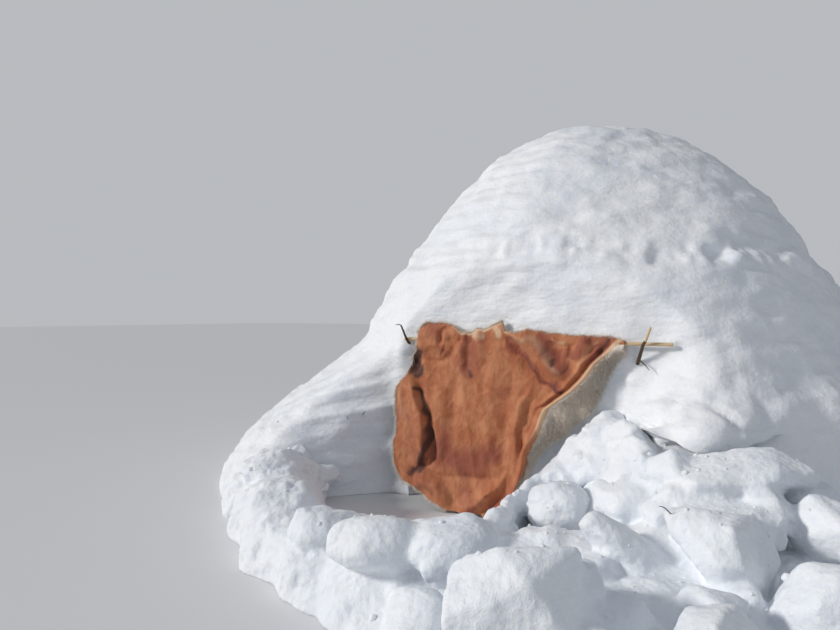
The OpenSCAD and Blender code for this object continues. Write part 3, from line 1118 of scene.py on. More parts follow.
    def lip(self, points: Array, a: Array, z: Array) -> Array:
        """Sharp lower lip of the pillow on the right flank, with a crease under it and a nose on its right.

        Args:
            points: Places on the plain form.
            a: Their angles.
            z: Their heights.

        Returns:
            How far each point is raised.
        """
        form = self.form
        share = self.lip_share(a, z)
        over = z - self.lip_z - 0.012 * noise(points, 0.14, 51)
        sharper = form.pillow_out * (ease(over / 0.02) - ease((z - form.foot) / form.pillow_rise))
        crease = 0.07 * hump((over + 0.035) / 0.03)
        near_nose = (points - np.array(self.nose_at)) / np.array(self.nose_size)
        nose = self.nose_out * np.exp(-np.sum(near_nose**2, axis=1))
        swell = layers(points, self.swells) + 0.07 * clods(points, 0.19, 55, 0.9)
        return (sharper - crease) * share + (nose + swell * share) * ease(over / 0.02)

    def cave_points(self) -> Array:
        """Points of the cave, scraped out by hand.

        Returns:
            Grid of points, rows from the floor up.
        """
        lift = np.sin(np.linspace(0.0, math.pi / 2.0, int(self.cave_rows * DETAIL), endpoint=False))
        a, z = np.meshgrid(self.angles(), self.form.cave_height * lift)
        r = self.form.inner(z)
        flat = polar(r, a, z).reshape(-1, 3)
        scrape = 0.014 * noise(flat, (0.2, 0.2, 0.12), 61) + 0.01 * fractal(flat, 0.1, 2, 63)
        return polar(r + np.abs(scrape.reshape(r.shape)) * ease(r / 0.3), a, z)

    def doorway(self) -> Object:
        """Solid that cuts the doorway, flared at both mouths so that its edges come out softened.

        Returns:
            The cutting object.
        """
        turn = np.linspace(0.0, math.pi, 25)
        arch = [(math.cos(t), self.door_spring + self.door_rise * math.sin(t)) for t in turn]
        side = np.linspace(self.door_spring, self.below_floor, 10)[1:]
        outline = arch + [(-1.0, z) for z in side]
        outline += [(x, self.below_floor) for x in np.linspace(-1.0, 1.0, 10)[1:-1]]
        outline += [(1.0, z) for z in side[::-1]]
        outline = np.array(outline)
        out, deep, count = self.door_depths
        rings = []
        for y in np.linspace(-self.form.face_y - out, deep, count):
            mouth = self.mouth_flare * hump((y + self.form.face_y) / self.mouth_deep)
            mouth += self.back_flare * float(ease((y - self.back_y) / self.back_deep))
            x = self.door_middle + outline[:, 0] * (self.door_width / 2.0 + mouth)
            z = np.where(outline[:, 1] > 0.0, outline[:, 1] + mouth * outline[:, 1], outline[:, 1])
            rings.append(np.stack([x, np.full_like(x, y), z], axis=1))
        flat = np.concatenate(rings)
        rough = layers(flat, ((0.008, 0.13, 71), (0.004, 0.05, 72)))
        away = unit((flat - np.array([self.door_middle, 0.0, 0.3])) * np.array([1.0, 0.0, 1.0]))
        return ring_solid("doorway_tool", (flat + away * np.abs(rough)[:, None]).reshape(count, -1, 3))

    def build(self, snow: Material) -> Object:
        """Builds the mound as one closed mesh.

        Args:
            snow: Packed snow.

        Returns:
            The object.
        """
        outer, cave = self.outer_points(), self.cave_points()
        low, cols = outer.shape[0] * outer.shape[1], outer.shape[1]
        tips = [[0.0, 0.0, self.form.height], [0.0, 0.0, self.form.cave_height]]
        points = np.concatenate([outer.reshape(-1, 3), cave.reshape(-1, 3), tips])
        top, roof = len(points) - 2, len(points) - 1
        faces = grid_faces(outer.shape[0], cols, True)
        faces += [f[::-1] for f in grid_faces(cave.shape[0], cols, True, low)]
        last, last_in = low - cols, top - cols
        for i in range(cols):
            j = (i + 1) % cols
            faces += [[last + i, last + j, top], [last_in + j, last_in + i, roof], [j, i, low + i, low + j]]
        piece = mesh_object("mound_snow", points, faces)
        cut_away(piece, self.doorway())
        move_points(piece, self.placed(read_points(piece)))
        piece.data.shade_smooth()
        piece.data.set_sharp_from_angle(angle=math.radians(60))
        self.dress(piece, "packed_snow", self.nodes, snow)
        return piece


@dataclass
class Lump:
    """One lump of dug-out snow: its middle and half size round the mound's axis, and its turns in degrees."""

    middle: Point
    size: Point
    turn: float = 29.0
    tilt: float = 0.0
    facets: int = 22
    power: float = 3.0


def ball(subdivisions: int) -> Shape:
    """Unit ball of even triangles.

    Args:
        subdivisions: How often its faces are split.

    Returns:
        Its points and faces.
    """
    work = bmesh.new()
    bmesh.ops.create_icosphere(work, subdivisions=subdivisions, radius=1.0)
    return taken(work)


def block(rng: Rng, corners: int, power: float) -> Shape:
    """Block of snow with flat broken faces, about two units wide.

    Args:
        rng: Source of random numbers.
        corners: How many points its hull is stretched over.
        power: 2 for a round block, more for a squarer one.

    Returns:
        Its points and faces.
    """
    spots = rng.normal(size=(corners, 3))
    spots /= np.linalg.norm(spots, ord=power, axis=1, keepdims=True)
    work = bmesh.new()
    for spot in spots * rng.uniform(0.85, 1.12, (corners, 1)):
        work.verts.new(spot)
    hull = bmesh.ops.convex_hull(work, input=work.verts)
    bmesh.ops.delete(work, geom=[v for v in hull["geom_interior"] if isinstance(v, bmesh.types.BMVert)],
                     context="VERTS")
    work.verts.index_update()
    return taken(work)


def broken(points: Array, facets: int, rng: Rng) -> Array:
    """Breaks flat faces into a unit ball, as on a lump that was cut with a shovel.

    Args:
        points: Points of a unit ball.
        facets: How many faces are broken off.
        rng: Source of random numbers.

    Returns:
        The changed points.
    """
    shape = points.copy()
    for _ in range(facets):
        way = rng.normal(size=3)
        way /= np.linalg.norm(way)
        over = shape @ way - rng.uniform(0.55, 0.85)
        shape -= np.maximum(over, 0.0)[:, None] * way * 0.92
    return shape


@dataclass
class SnowHeap(FixedPart):
    """Heap of dug-out snow beside the doorway and the low rim in front of it."""

    form: MoundForm
    nodes: tuple[str, ...]
    hide_edge: Line
    swing: tuple[float, float]
    voxel: float = 0.0108
    block_step: float = 0.25
    strewn_rows: Point = (-0.78, -0.12, 0.58)
    clot_count: int = 42
    bank_share: float = 0.60
    hide_reach: float = 1.085
    hide_left: float = -0.85
    swing_room: float = 0.03
    side_room: float = 0.06
    side_band: float = 0.14
    scrapes: Layers = ((0.020, (0.11, 0.11, 0.06), 99), (0.008, (0.05, 0.05, 0.03), 100))
    ridge: Line = field(default_factory=lambda: [
        (1.19, -1.65, 0.42, 0.37), (1.12, -2.08, 0.43, 0.36), (0.86, -2.54, 0.40, 0.30),
        (0.47, -2.88, 0.34, 0.25), (-0.08, -2.84, 0.27, 0.23), (-0.58, -2.66, 0.26, 0.25),
        (-1.01, -2.36, 0.28, 0.32), (-1.31, -2.0, 0.30, 0.37)])
    spur: Line = field(default_factory=lambda: [(0.69, -2.04, 0.28, 0.28), (1.12, -2.08, 0.43, 0.36)])
    fills: list[Line] = field(default_factory=lambda: [
        [(-0.42, -2.66, 0.18, 0.27), (-0.02, -2.60, 0.15, 0.29), (0.15, -2.46, 0.14, 0.29),
            (0.17, -2.25, 0.10, 0.28), (0.13, -2.05, 0.07, 0.27), (0.16, -1.82, 0.08, 0.31),
            (0.25, -1.63, 0.12, 0.41)],
        [(0.26, -1.62, 0.13, 0.41), (0.35, -1.63, 0.17, 0.49), (0.46, -1.65, 0.19, 0.57),
            (0.58, -1.68, 0.20, 0.58), (0.72, -1.74, 0.20, 0.50), (0.90, -1.84, 0.20, 0.46)],
        [(0.28, -2.38, 0.18, 0.22), (0.56, -2.24, 0.22, 0.24), (0.90, -2.20, 0.24, 0.30)],
        [(-0.45, -2.80, 0.18, 0.215), (-0.05, -2.87, 0.175, 0.225), (0.20, -2.76, 0.16, 0.215),
            (0.40, -2.64, 0.16, 0.20)]])
    lumps: list[Lump] = field(default_factory=lambda: [
        Lump(row[:3], row[3:6], *row[6:]) for row in (
        (0.342, -1.974, 0.205, 0.15, 0.14, 0.136, 10, 0, 160, 2),
        (0.7, -1.995, 0.3, 0.175, 0.14, 0.105, 29, -4, 60, 2.2),
        (1.066, -1.964, 0.44, 0.32, 0.17, 0.1, 25, -6, 16), (0.88, -2.00, 0.43, 0.14, 0.12, 0.09, 29, 20, 12),
        (0.745, -2.409, 0.218, 0.215, 0.11, 0.078, 29, 36, 70, 2.2),
        (0.647, -2.553, 0.175, 0.09, 0.09, 0.07, 29, 15, 40, 2.2),
        (1.057, -2.354, 0.262, 0.2, 0.17, 0.145, 60, 8, 30, 2.8),
        (0.93, -2.36, 0.33, 0.065, 0.1, 0.075, 29, -40, 24), (1.06, -2.15, 0.31, 0.22, 0.14, 0.12, 29, 4, 24),
        (0.97, -2.07, 0.37, 0.2, 0.11, 0.07, 29, 0, 40),
        (1.049, -2.672, 0.2, 0.1, 0.09, 0.062, 29, 8, 40, 2.2),
        (0.665, -2.76, 0.13, 0.075, 0.09, 0.12, 29, 0, 20), (0.77, -2.7, 0.11, 0.11, 0.1, 0.1, 29, 0, 22),
        (0.53, -3.0, 0.2, 0.235, 0.17, 0.2, 20, -8, 22, 7), (0.66, -2.9, 0.26, 0.1, 0.1, 0.09, 40, 12, 30),
        (0.206, -2.8, 0.268, 0.17, 0.13, 0.11, 29, -8, 90, 2.2),
        (0.188, -2.93, 0.23, 0.045, 0.045, 0.04, 0, 0, 40, 2),
        (-0.045, -2.887, 0.262, 0.195, 0.13, 0.1, 24, 2, 90, 2.2),
        (0.682, -2.821, 0.165, 0.062, 0.07, 0.09, 29, 15, 30), (0.79, -2.818, 0.15, 0.1, 0.09, 0.1, 29, -10),
        (1.4, -2.06, 0.3, 0.14, 0.15, 0.13, 50, 0, 40, 2.4), (1.34, -2.5, 0.19, 0.15, 0.14, 0.13, -30, 0, 30),
        (1.319, -1.8, 0.35, 0.13, 0.12, 0.07, 29, 0, 30), (0.53, -1.985, 0.325, 0.045, 0.05, 0.045),
        (0.83, -2.17, 0.32, 0.09, 0.09, 0.07, 29, 20, 30), (1.17, -2.05, 0.4, 0.12, 0.1, 0.08, 12),
        (1.05, -2.9, 0.16, 0.16, 0.12, 0.13, 70, 0, 20), (0.82, -3.06, 0.14, 0.15, 0.12, 0.14, 20, 0, 20),
        (-0.38, -2.775, 0.22, 0.17, 0.13, 0.1, 22, 0, 60, 2.2),
        (-0.78, -2.575, 0.22, 0.17, 0.15, 0.11, 45, 0, 60, 2),
        (-1.15, -2.235, 0.26, 0.18, 0.16, 0.11, 20, 0, 60, 2),
        (0.2, -3.06, 0.12, 0.14, 0.11, 0.1, 60, 0, 30))])

    def banks(self) -> list[Shape]:
        """Rounded swells set close together along the ridge and the spur.

        Returns:
            Points and faces of each swell.
        """
        rng = np.random.default_rng(12)
        sphere, faces = ball(4)
        swells = []
        for stations in (self.ridge, self.spur, *self.fills):
            share, count = (0.97, 14) if stations in self.fills else (self.bank_share, 6)
            for start, end in itertools.pairwise(np.array(stations)):
                for t in np.linspace(0.0, 1.0, count):
                    x, y, radius, height = mix(start, end, t)
                    low = np.array([0.9, 0.9, mix(share, 0.95, self.drift(x))])
                    shape = sphere * np.array([radius, radius, height]) * low * rng.uniform(0.9, 1.0)
                    shift = rng.uniform(-0.12, 0.12, 3) * radius * np.array([1.0, 1.0, 0.0])
                    shape += shift + np.array([x, y, 0.0])
                    shape += 0.1 * radius * noise(shape, 0.19, 81)[:, None] * sphere
                    swells.append((shape, faces))
        return swells

    def chunks(self) -> list[Shape]:
        """The lumps, each with broken faces and rounded edges.

        Returns:
            Points and faces of each lump.
        """
        pieces = []
        for number, lump in enumerate(self.lumps + self.strewn()):
            shape, faces = block(np.random.default_rng(200 + number), lump.facets, lump.power)
            shape = shape * np.array(lump.size) @ tilted(lump.tilt).T @ turned(lump.turn).T
            pieces.append((shape + np.array(lump.middle), faces))
        return pieces

    def strewn(self) -> list[Lump]:
        """Smaller lumps strewn over the banks and piled against the right cheek.

        Returns:
            The lumps.
        """
        rng = np.random.default_rng(31)
        found = []
        for stations in (self.ridge, self.spur):
            line = np.array(stations)
            length = run_length(line[:, :2])
            for along in np.arange(0.05, length[-1], self.block_step):
                for row in self.strewn_rows:
                    at = along + rng.uniform(-0.06, 0.06)
                    x, y, radius, height = (np.interp(at, length, line[:, k]) for k in range(4))
                    ahead = [np.interp(at + 0.1, length, line[:, k]) for k in (0, 1)]
                    turn = math.atan2(ahead[1] - y, ahead[0] - x) + math.pi / 2.0
                    out = row + rng.uniform(-0.16, 0.16)
                    size = radius * rng.uniform(0.36, 0.62) * rng.uniform(0.8, 1.25, 3)
                    size = size * np.array([1.1, 0.9, 0.75]) * mix(1.0, 0.62, self.drift(x))
                    top = mix(self.bank_share, 0.80, self.drift(x)) * height
                    z = top * math.sqrt(max(0.0, 1.0 - out * out)) - 0.07 * size[2]
                    away = radius * out
                    spot = (x + away * math.cos(turn), y + away * math.sin(turn), max(0.04, z))
                    nearest = min(math.dist(spot[:2], lump.middle[:2]) for lump in self.lumps)
                    size = size * (1.0 if nearest > 0.34 else 0.36)
                    found.append(Lump(spot, tuple(size), rng.uniform(0.0, 180.0), 0.0, rng.integers(20, 34)))
        return found + self.clots(rng)

    def clots(self, rng: Rng) -> list[Lump]:
        """Clots of loose snow that slid down between the doorway and the heap.

        Args:
            rng: Source of random numbers.

        Returns:
            The clots.
        """
        places, tops = np.array(self.fills[1])[:, [0, 3]].T
        found = []
        for _ in range(self.clot_count):
            x, slid = rng.uniform(0.20, 0.86), rng.uniform()
            top = float(np.interp(x, places, tops))
            z = top * math.sqrt(1.0 - (0.85 * slid) ** 2) - 0.01
            size = rng.uniform(0.045, 0.088) * rng.uniform(0.8, 1.25, 3)
            spot = (x + 0.05 * slid, min(-1.56, self.cheek(x, top)) - 0.02 - 0.24 * slid, z - 0.3 * size[2])
            found.append(Lump(spot, tuple(size), rng.uniform(0.0, 180.0), 0.0, 20))
        return found

    def drift(self, x: float) -> float:
        """Share by which the rim at a place across is a soft drift and not a row of blocks."""
        return float(ease(np.array((-0.25 - x) / 0.35)))

    def cheek(self, x: float, z: float) -> float:
        """Place of the mound's skin in front of a point, towards the entrance side.

        Args:
            x: Place across.
            z: Height.

        Returns:
            Its y.
        """
        y = np.linspace(-2.4, -1.2, 241)
        inside = np.hypot(x, y) < self.form.outer(np.degrees(np.arctan2(y, x)), np.full_like(y, z))
        return float(y[np.argmax(inside)]) - 0.01

    def clear_swing(self, points: Array) -> Array:
        """Pushes points out of the room that the hide sweeps as it swings, sideways where they are beside it.

        Args:
            points: Places round the mound's axis.

        Returns:
            The changed places.
        """
        rod_y, rod_z = self.swing
        reach = self.hide_reach + self.swing_room
        away = points[:, 1:] - np.array([-rod_y, rod_z])
        distance = np.linalg.norm(away, axis=1)
        right = edge_at(self.hide_edge, rod_z - distance) + self.side_room
        x = points[:, 0]
        inside = (distance < reach) & (x < right) & (x > self.hide_left)
        beside = inside & (x > right - self.side_band)
        side = np.minimum(ease((right - x) / 0.08), ease((x - self.hide_left) / 0.08))
        shift = (reach / np.maximum(distance, 1e-6) - 1.0) * side * (inside & ~beside)
        return np.c_[np.where(beside, right, x), points[:, 1:] + away * shift[:, None]]

    def fuse(self, piece: Object, rounds: int) -> None:
        """Melts a piece into one skin of small even faces and smooths it so many times."""
        apply_modifier(piece, "REMESH", mode="VOXEL", voxel_size=self.voxel / DETAIL)
        apply_modifier(piece, "SMOOTH", factor=0.5, iterations=max(1, int(rounds * DETAIL * DETAIL)))

    def texture(self, spots: Array) -> Array:
        """Fine relief: grainy all over, scraped on the trench's wall and crumbly on the drift at the left.

        Args:
            spots: Places round the mound's axis.

        Returns:
            How far each point is raised.
        """
        x, y, z = spots.T
        soft = ease((-0.2 - x) / 0.3)
        dug = ease((0.30 - z) / 0.1) * ease((y + 2.75) / 0.2) * ease((0.45 - x) / 0.1)
        relief = 0.004 * fractal(spots, 0.07, 2, 91) + 0.002 * noise(spots, 0.025, 95)
        relief += dug * layers(spots, self.scrapes)
        relief += soft * (0.012 * np.maximum(0.0, noise(spots, 0.05, 97)) + 0.005 * noise(spots, 0.026, 98))
        return relief * ease(z / 0.02)

    def build(self, snow: Material) -> Object:
        """Builds the heap and the rim as one closed mesh.

        Args:
            snow: Dug-out snow.

        Returns:
            The object.
        """
        piece = joined("heap_snow", self.banks() + self.chunks())
        self.fuse(piece, 4)
        spots = read_points(piece)
        bent = spots + 0.05 * noise_columns(spots, 0.2, 181)
        cloddy = ease(0.5 + noise(spots, 0.4, 88))
        relief = 0.010 * noise(bent, 0.16, 87) + 0.016 * clods(bent, 0.11, 89) * cloddy
        move_points(piece, spots + read_points(piece, "normal") * relief[:, None])
        self.fuse(piece, 2)
        cut_away(piece, self.outside())
        spots = read_points(piece)
        shaped = self.clear_swing(spots + read_points(piece, "normal") * self.texture(spots)[:, None])
        shaped[:, 2] = np.maximum(shaped[:, 2], 0.0)
        move_points(piece, self.placed(shaped))
        piece.data.shade_smooth()
        self.dress(piece, "dug_snow", self.nodes, snow)
        return piece

    def outside(self) -> Object:
        """Solid of all that the heap may not hold: the mound's inside and what is below the floor.

        Returns:
            The cutting object.
        """
        a, z = np.meshgrid(np.arange(-180.0, 180.0, 3.0), np.linspace(0.0, 1.2, 25))
        wall = polar(self.form.outer(a, z) - 0.07, a, z)
        rim = wall[0] * np.array([4.0, 4.0, 1.0])
        return ring_solid("outside_tool", np.concatenate([[rim - np.array([0.0, 0.0, 1.0])], [rim], wall]))


def turned(degrees: float) -> Array:
    """Matrix of a turn about the upright axis."""
    c, s = math.cos(math.radians(degrees)), math.sin(math.radians(degrees))
    return np.array([[c, -s, 0.0], [s, c, 0.0], [0.0, 0.0, 1.0]])


def tilted(degrees: float) -> Array:
    """Matrix of a turn about the axis of depth, which brings the right side down."""
    c, s = math.cos(math.radians(degrees)), math.sin(math.radians(degrees))
    return np.array([[c, 0.0, s], [0.0, 1.0, 0.0], [-s, 0.0, c]])


@dataclass
class Crumbs(FixedPart):
    """Small crumbs that rolled off the heap and the mound, each pressed a little into what it lies on."""

    count: int = 190
    smallest: float = 0.006
    largest: float = 0.018
    spread: float = 0.19
    sunk: float = 0.15
    highest: float = 0.52
    flattest: float = 0.5
    centres: Line = field(default_factory=lambda: [
        (0.55, -1.95), (0.95, -2.1), (1.05, -2.55), (0.55, -2.75), (-0.05, -2.8), (-0.7, -2.6), (-1.15, -2.3),
        (0.30, -2.15), (1.3, -1.9), (0.5, -1.85)])

    def build(self, ground: list[Object], snow: Material) -> None:
        """Builds all crumbs as one mesh.

        Args:
            ground: The pieces that they lie on.
            snow: Dug-out snow.
        """
        rng = np.random.default_rng(77)
        trees = trees_of(ground)
        chosen = np.array(self.centres)[rng.integers(0, len(self.centres), self.count)]
        chosen += rng.normal(scale=self.spread, size=chosen.shape)
        sphere, faces = ball(3)
        crumbs = []
        for x, y in chosen + np.array([0.0, self.axis_y]):
            radius = self.smallest + (self.largest - self.smallest) * rng.uniform() ** 4
            shape = broken(sphere, 5, rng) * radius * rng.uniform(0.7, 1.1, 3)
            hits = [tree.ray_cast(Vector((x, y, 3.0)), DOWN) for tree in trees]
            found = max(((h[0].z, h[1].z) for h in hits if h[0] is not None), default=(self.highest, 0.0))
            if found[1] >= self.flattest and found[0] <= self.highest:
                shape = shape @ turned(rng.uniform(0.0, 360.0)).T
                crumbs.append((shape + np.array([x, y, found[0] - self.sunk * radius]), faces))
        self.dress(joined("heap_crumbs", crumbs), "dug_snow", finish=snow)


def trees_of(pieces: list[Object]) -> list[BVHTree]:
    """Search trees over pieces, to find their surfaces with."""
    return [BVHTree.FromObject(piece, bpy.context.evaluated_depsgraph_get()) for piece in pieces]


@dataclass
class Branch:
    """A round stick along a line of points, with a radius at each."""

    finish: Material
    path: list[Point | Array | Vector]
    radii: list[float]
    wobble: float
    knots: float
    sides: int = 20
    step: float = 0.004

    def tube(self) -> tuple[Array, list, Array]:
        """Builds the stick with rounded ends.

        Returns:
            Points, faces and flat coordinates of each point.
        """
        corners = np.array(self.path)
        length = run_length(corners)
        at = np.linspace(0.0, length[-1], max(6, int(length[-1] / self.step)))
        line = np.stack([np.interp(at, length, corners[:, k]) for k in range(3)], axis=1)
        soft = np.stack([smoothed(line[:, k], 5) for k in range(3)], axis=1)
        soft[0], soft[-1] = line[0], line[-1]
        soft += self.wobble * noise_columns(soft, 0.11, 101)
        radius = np.interp(at, length, self.radii) * (1.0 + self.knots * fractal(soft, 0.035, 2, 111))
        tangent = unit(np.gradient(soft, axis=0))
        aside = [0.31, 0.2, 0.93] if abs(tangent[0, 2]) < 0.8 else [1.0, 0.1, 0.0]
        side = unit(np.cross(tangent, aside))
        up = np.cross(side, tangent)
        turn = np.linspace(0.0, 2.0 * math.pi, self.sides, endpoint=False)
        ring = np.cos(turn)[None, :, None] * side[:, None] + np.sin(turn)[None, :, None] * up[:, None]
        bark = 1.0 + self.knots * 0.6 * noise((soft[:, None] + ring * 0.01).reshape(-1, 3), 0.012, 121)
        grid = soft[:, None] + ring * radius[:, None, None] * bark.reshape(len(at), self.sides)[:, :, None]
        flat = np.stack([np.tile(turn * radius.mean(), len(at)), np.repeat(at, self.sides)], axis=1)
        points = np.concatenate([grid.reshape(-1, 3), [soft[0], soft[-1]]])
        flat = np.concatenate([flat, [[0.0, 0.0], [0.0, at[-1]]]])
        faces = [f[::-1] for f in grid_faces(len(at), self.sides, True)]
        first, last = len(points) - 2, len(points) - 1
        end = (len(at) - 1) * self.sides
        for i in range(self.sides):
            j = (i + 1) % self.sides
            faces += [[first, i, j], [last, end + j, end + i]]
        return points, faces, flat


def smoothed(values: Array, width: int) -> Array:
    """Running mean of a line of values.

    Args:
        values: The values.
        width: How many neighbours are averaged.

    Returns:
        As many values, smoother.
    """
    padded = np.pad(values, width // 2, mode="edge")
    return np.convolve(padded, np.ones(width) / width, mode="valid")[: len(values)]


def branches_object(name: str, branches: list[Branch]) -> Object:
    """Joins sticks into one object with flat coordinates along each.

    Args:
        name: Name of the piece.
        branches: The sticks.

    Returns:
        The object.
    """
    points, faces, flats, slots, start = [], [], [], [], 0
    finishes = list(dict.fromkeys(branch.finish for branch in branches))
    for branch in branches:
        shape, corners, flat = branch.tube()
        points.append(shape)
        flats.append(flat)
        faces += [[c + start for c in f] for f in corners]
        slots += [finishes.index(branch.finish)] * len(corners)
        start += len(shape)
    piece = mesh_object(name, np.concatenate(points), faces)
    make_outward(piece)
    for finish in finishes:
        piece.data.materials.append(finish)
    piece.data.polygons.foreach_set("material_index", slots)
    set_flat(piece, np.concatenate(flats))
    piece.data.set_sharp_from_angle(angle=math.radians(50))
    return piece


@dataclass
class CurtainRod(FixedPart):
    """The peeled stick and the two twigs that are pushed into the snow in front of it."""

    bark: Material
    wood: Material
    left_line: Line = field(default_factory=lambda: [
        (0.52, 0.985, 0.34), (0.49, 0.62, 0.52), (0.46, 0.46, 0.65), (0.34, 0.27, 0.96), (0.19, 0.28, 0.99),
        (0.04, 0.3, 0.97)])

    def build_rod(self) -> None:
        """Builds the stick, a little thinner than its solid and thinnest at its ends."""
        low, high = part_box("rod")
        y, z = (low[1] + high[1]) / 2.0, (low[2] + high[2]) / 2.0
        thick = (high[2] - low[2]) / 2.0 * 0.95
        path = [(x, y, z) for x in (low[0], low[0] + 0.004, high[0] - 0.004, high[0])]
        stick = Branch(self.wood, path, [thick * 0.8, thick, thick * 0.94, thick * 0.78], 0.0004, 0.03, 24)
        self.dress(branches_object("curtain_rod", [stick]), "peeled_stick", ("rod",))

    def build_left_twig(self) -> None:
        """Builds the left twig, which bends over at its tip like a hook."""
        low, high = (np.array(corner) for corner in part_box("twig_left"))
        line = [mix(low, high, np.array(share)) for share in self.left_line]
        sticks = [Branch(self.bark, line[:4], [0.0085, 0.0078, 0.0065, 0.0045], 0.0015, 0.12),
                  Branch(self.bark, line[3:], [0.0035, 0.0025, 0.0015], 0.001, 0.1, 10)]
        self.dress(branches_object("twig_left_stem", sticks), "bark_twig", ("twig_left",))

    def build_right_twig(self) -> None:
        """Builds the right twig, which has a peeled tip and one side shoot."""
        low, high = (np.array(corner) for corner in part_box("twig_right"))
        foot = np.array([low[0] + 0.008, high[1] - 0.006, low[2] + 0.008])
        tip = np.array([high[0] - 0.02, low[1] + 0.008, high[2] - 0.004])
        middle = mix(foot, tip, 0.55) + np.array([-0.004, -0.003, 0.0])
        cut, fork = mix(foot, tip, 0.62), mix(foot, tip, 0.12)
        shoot = [fork, fork + np.array([0.03, -0.012, -0.022]), fork + np.array([0.055, -0.018, -0.05])]
        sticks = [Branch(self.bark, [foot, middle, cut], [0.0088, 0.0085, 0.0078], 0.002, 0.12),
                  Branch(self.wood, [cut, mix(cut, tip, 0.9), tip], [0.0072, 0.0062, 0.0035], 0.0006, 0.03),
                  Branch(self.bark, shoot, [0.004, 0.003, 0.0015], 0.001, 0.1, 10)]
        self.dress(branches_object("twig_right_stem", sticks), "bark_twig", ("twig_right",))


@dataclass
class Fold:
    """A ridge or groove along a line on the hanging hide, in x and height."""

    path: Line
    width: float
    lift: float
    fade: float = 0.0
    right_width: float = 0.0

    def at(self, points: Array) -> Array:
        """How far the fold brings points of the hide towards a viewer outside.

        Args:
            points: Places in x and height.

        Returns:
            The lift of each point, which grows over the fade from both ends of the path.
        """
        distance, to_end, side = along_path(points, self.path)
        taper = ease(to_end / self.fade) if self.fade > 0.0 else np.ones(len(points))
        width = np.where(side > 0.0, self.right_width or self.width, self.width)
        return self.lift * taper * hump(distance / (width * (0.45 + 0.55 * taper)))


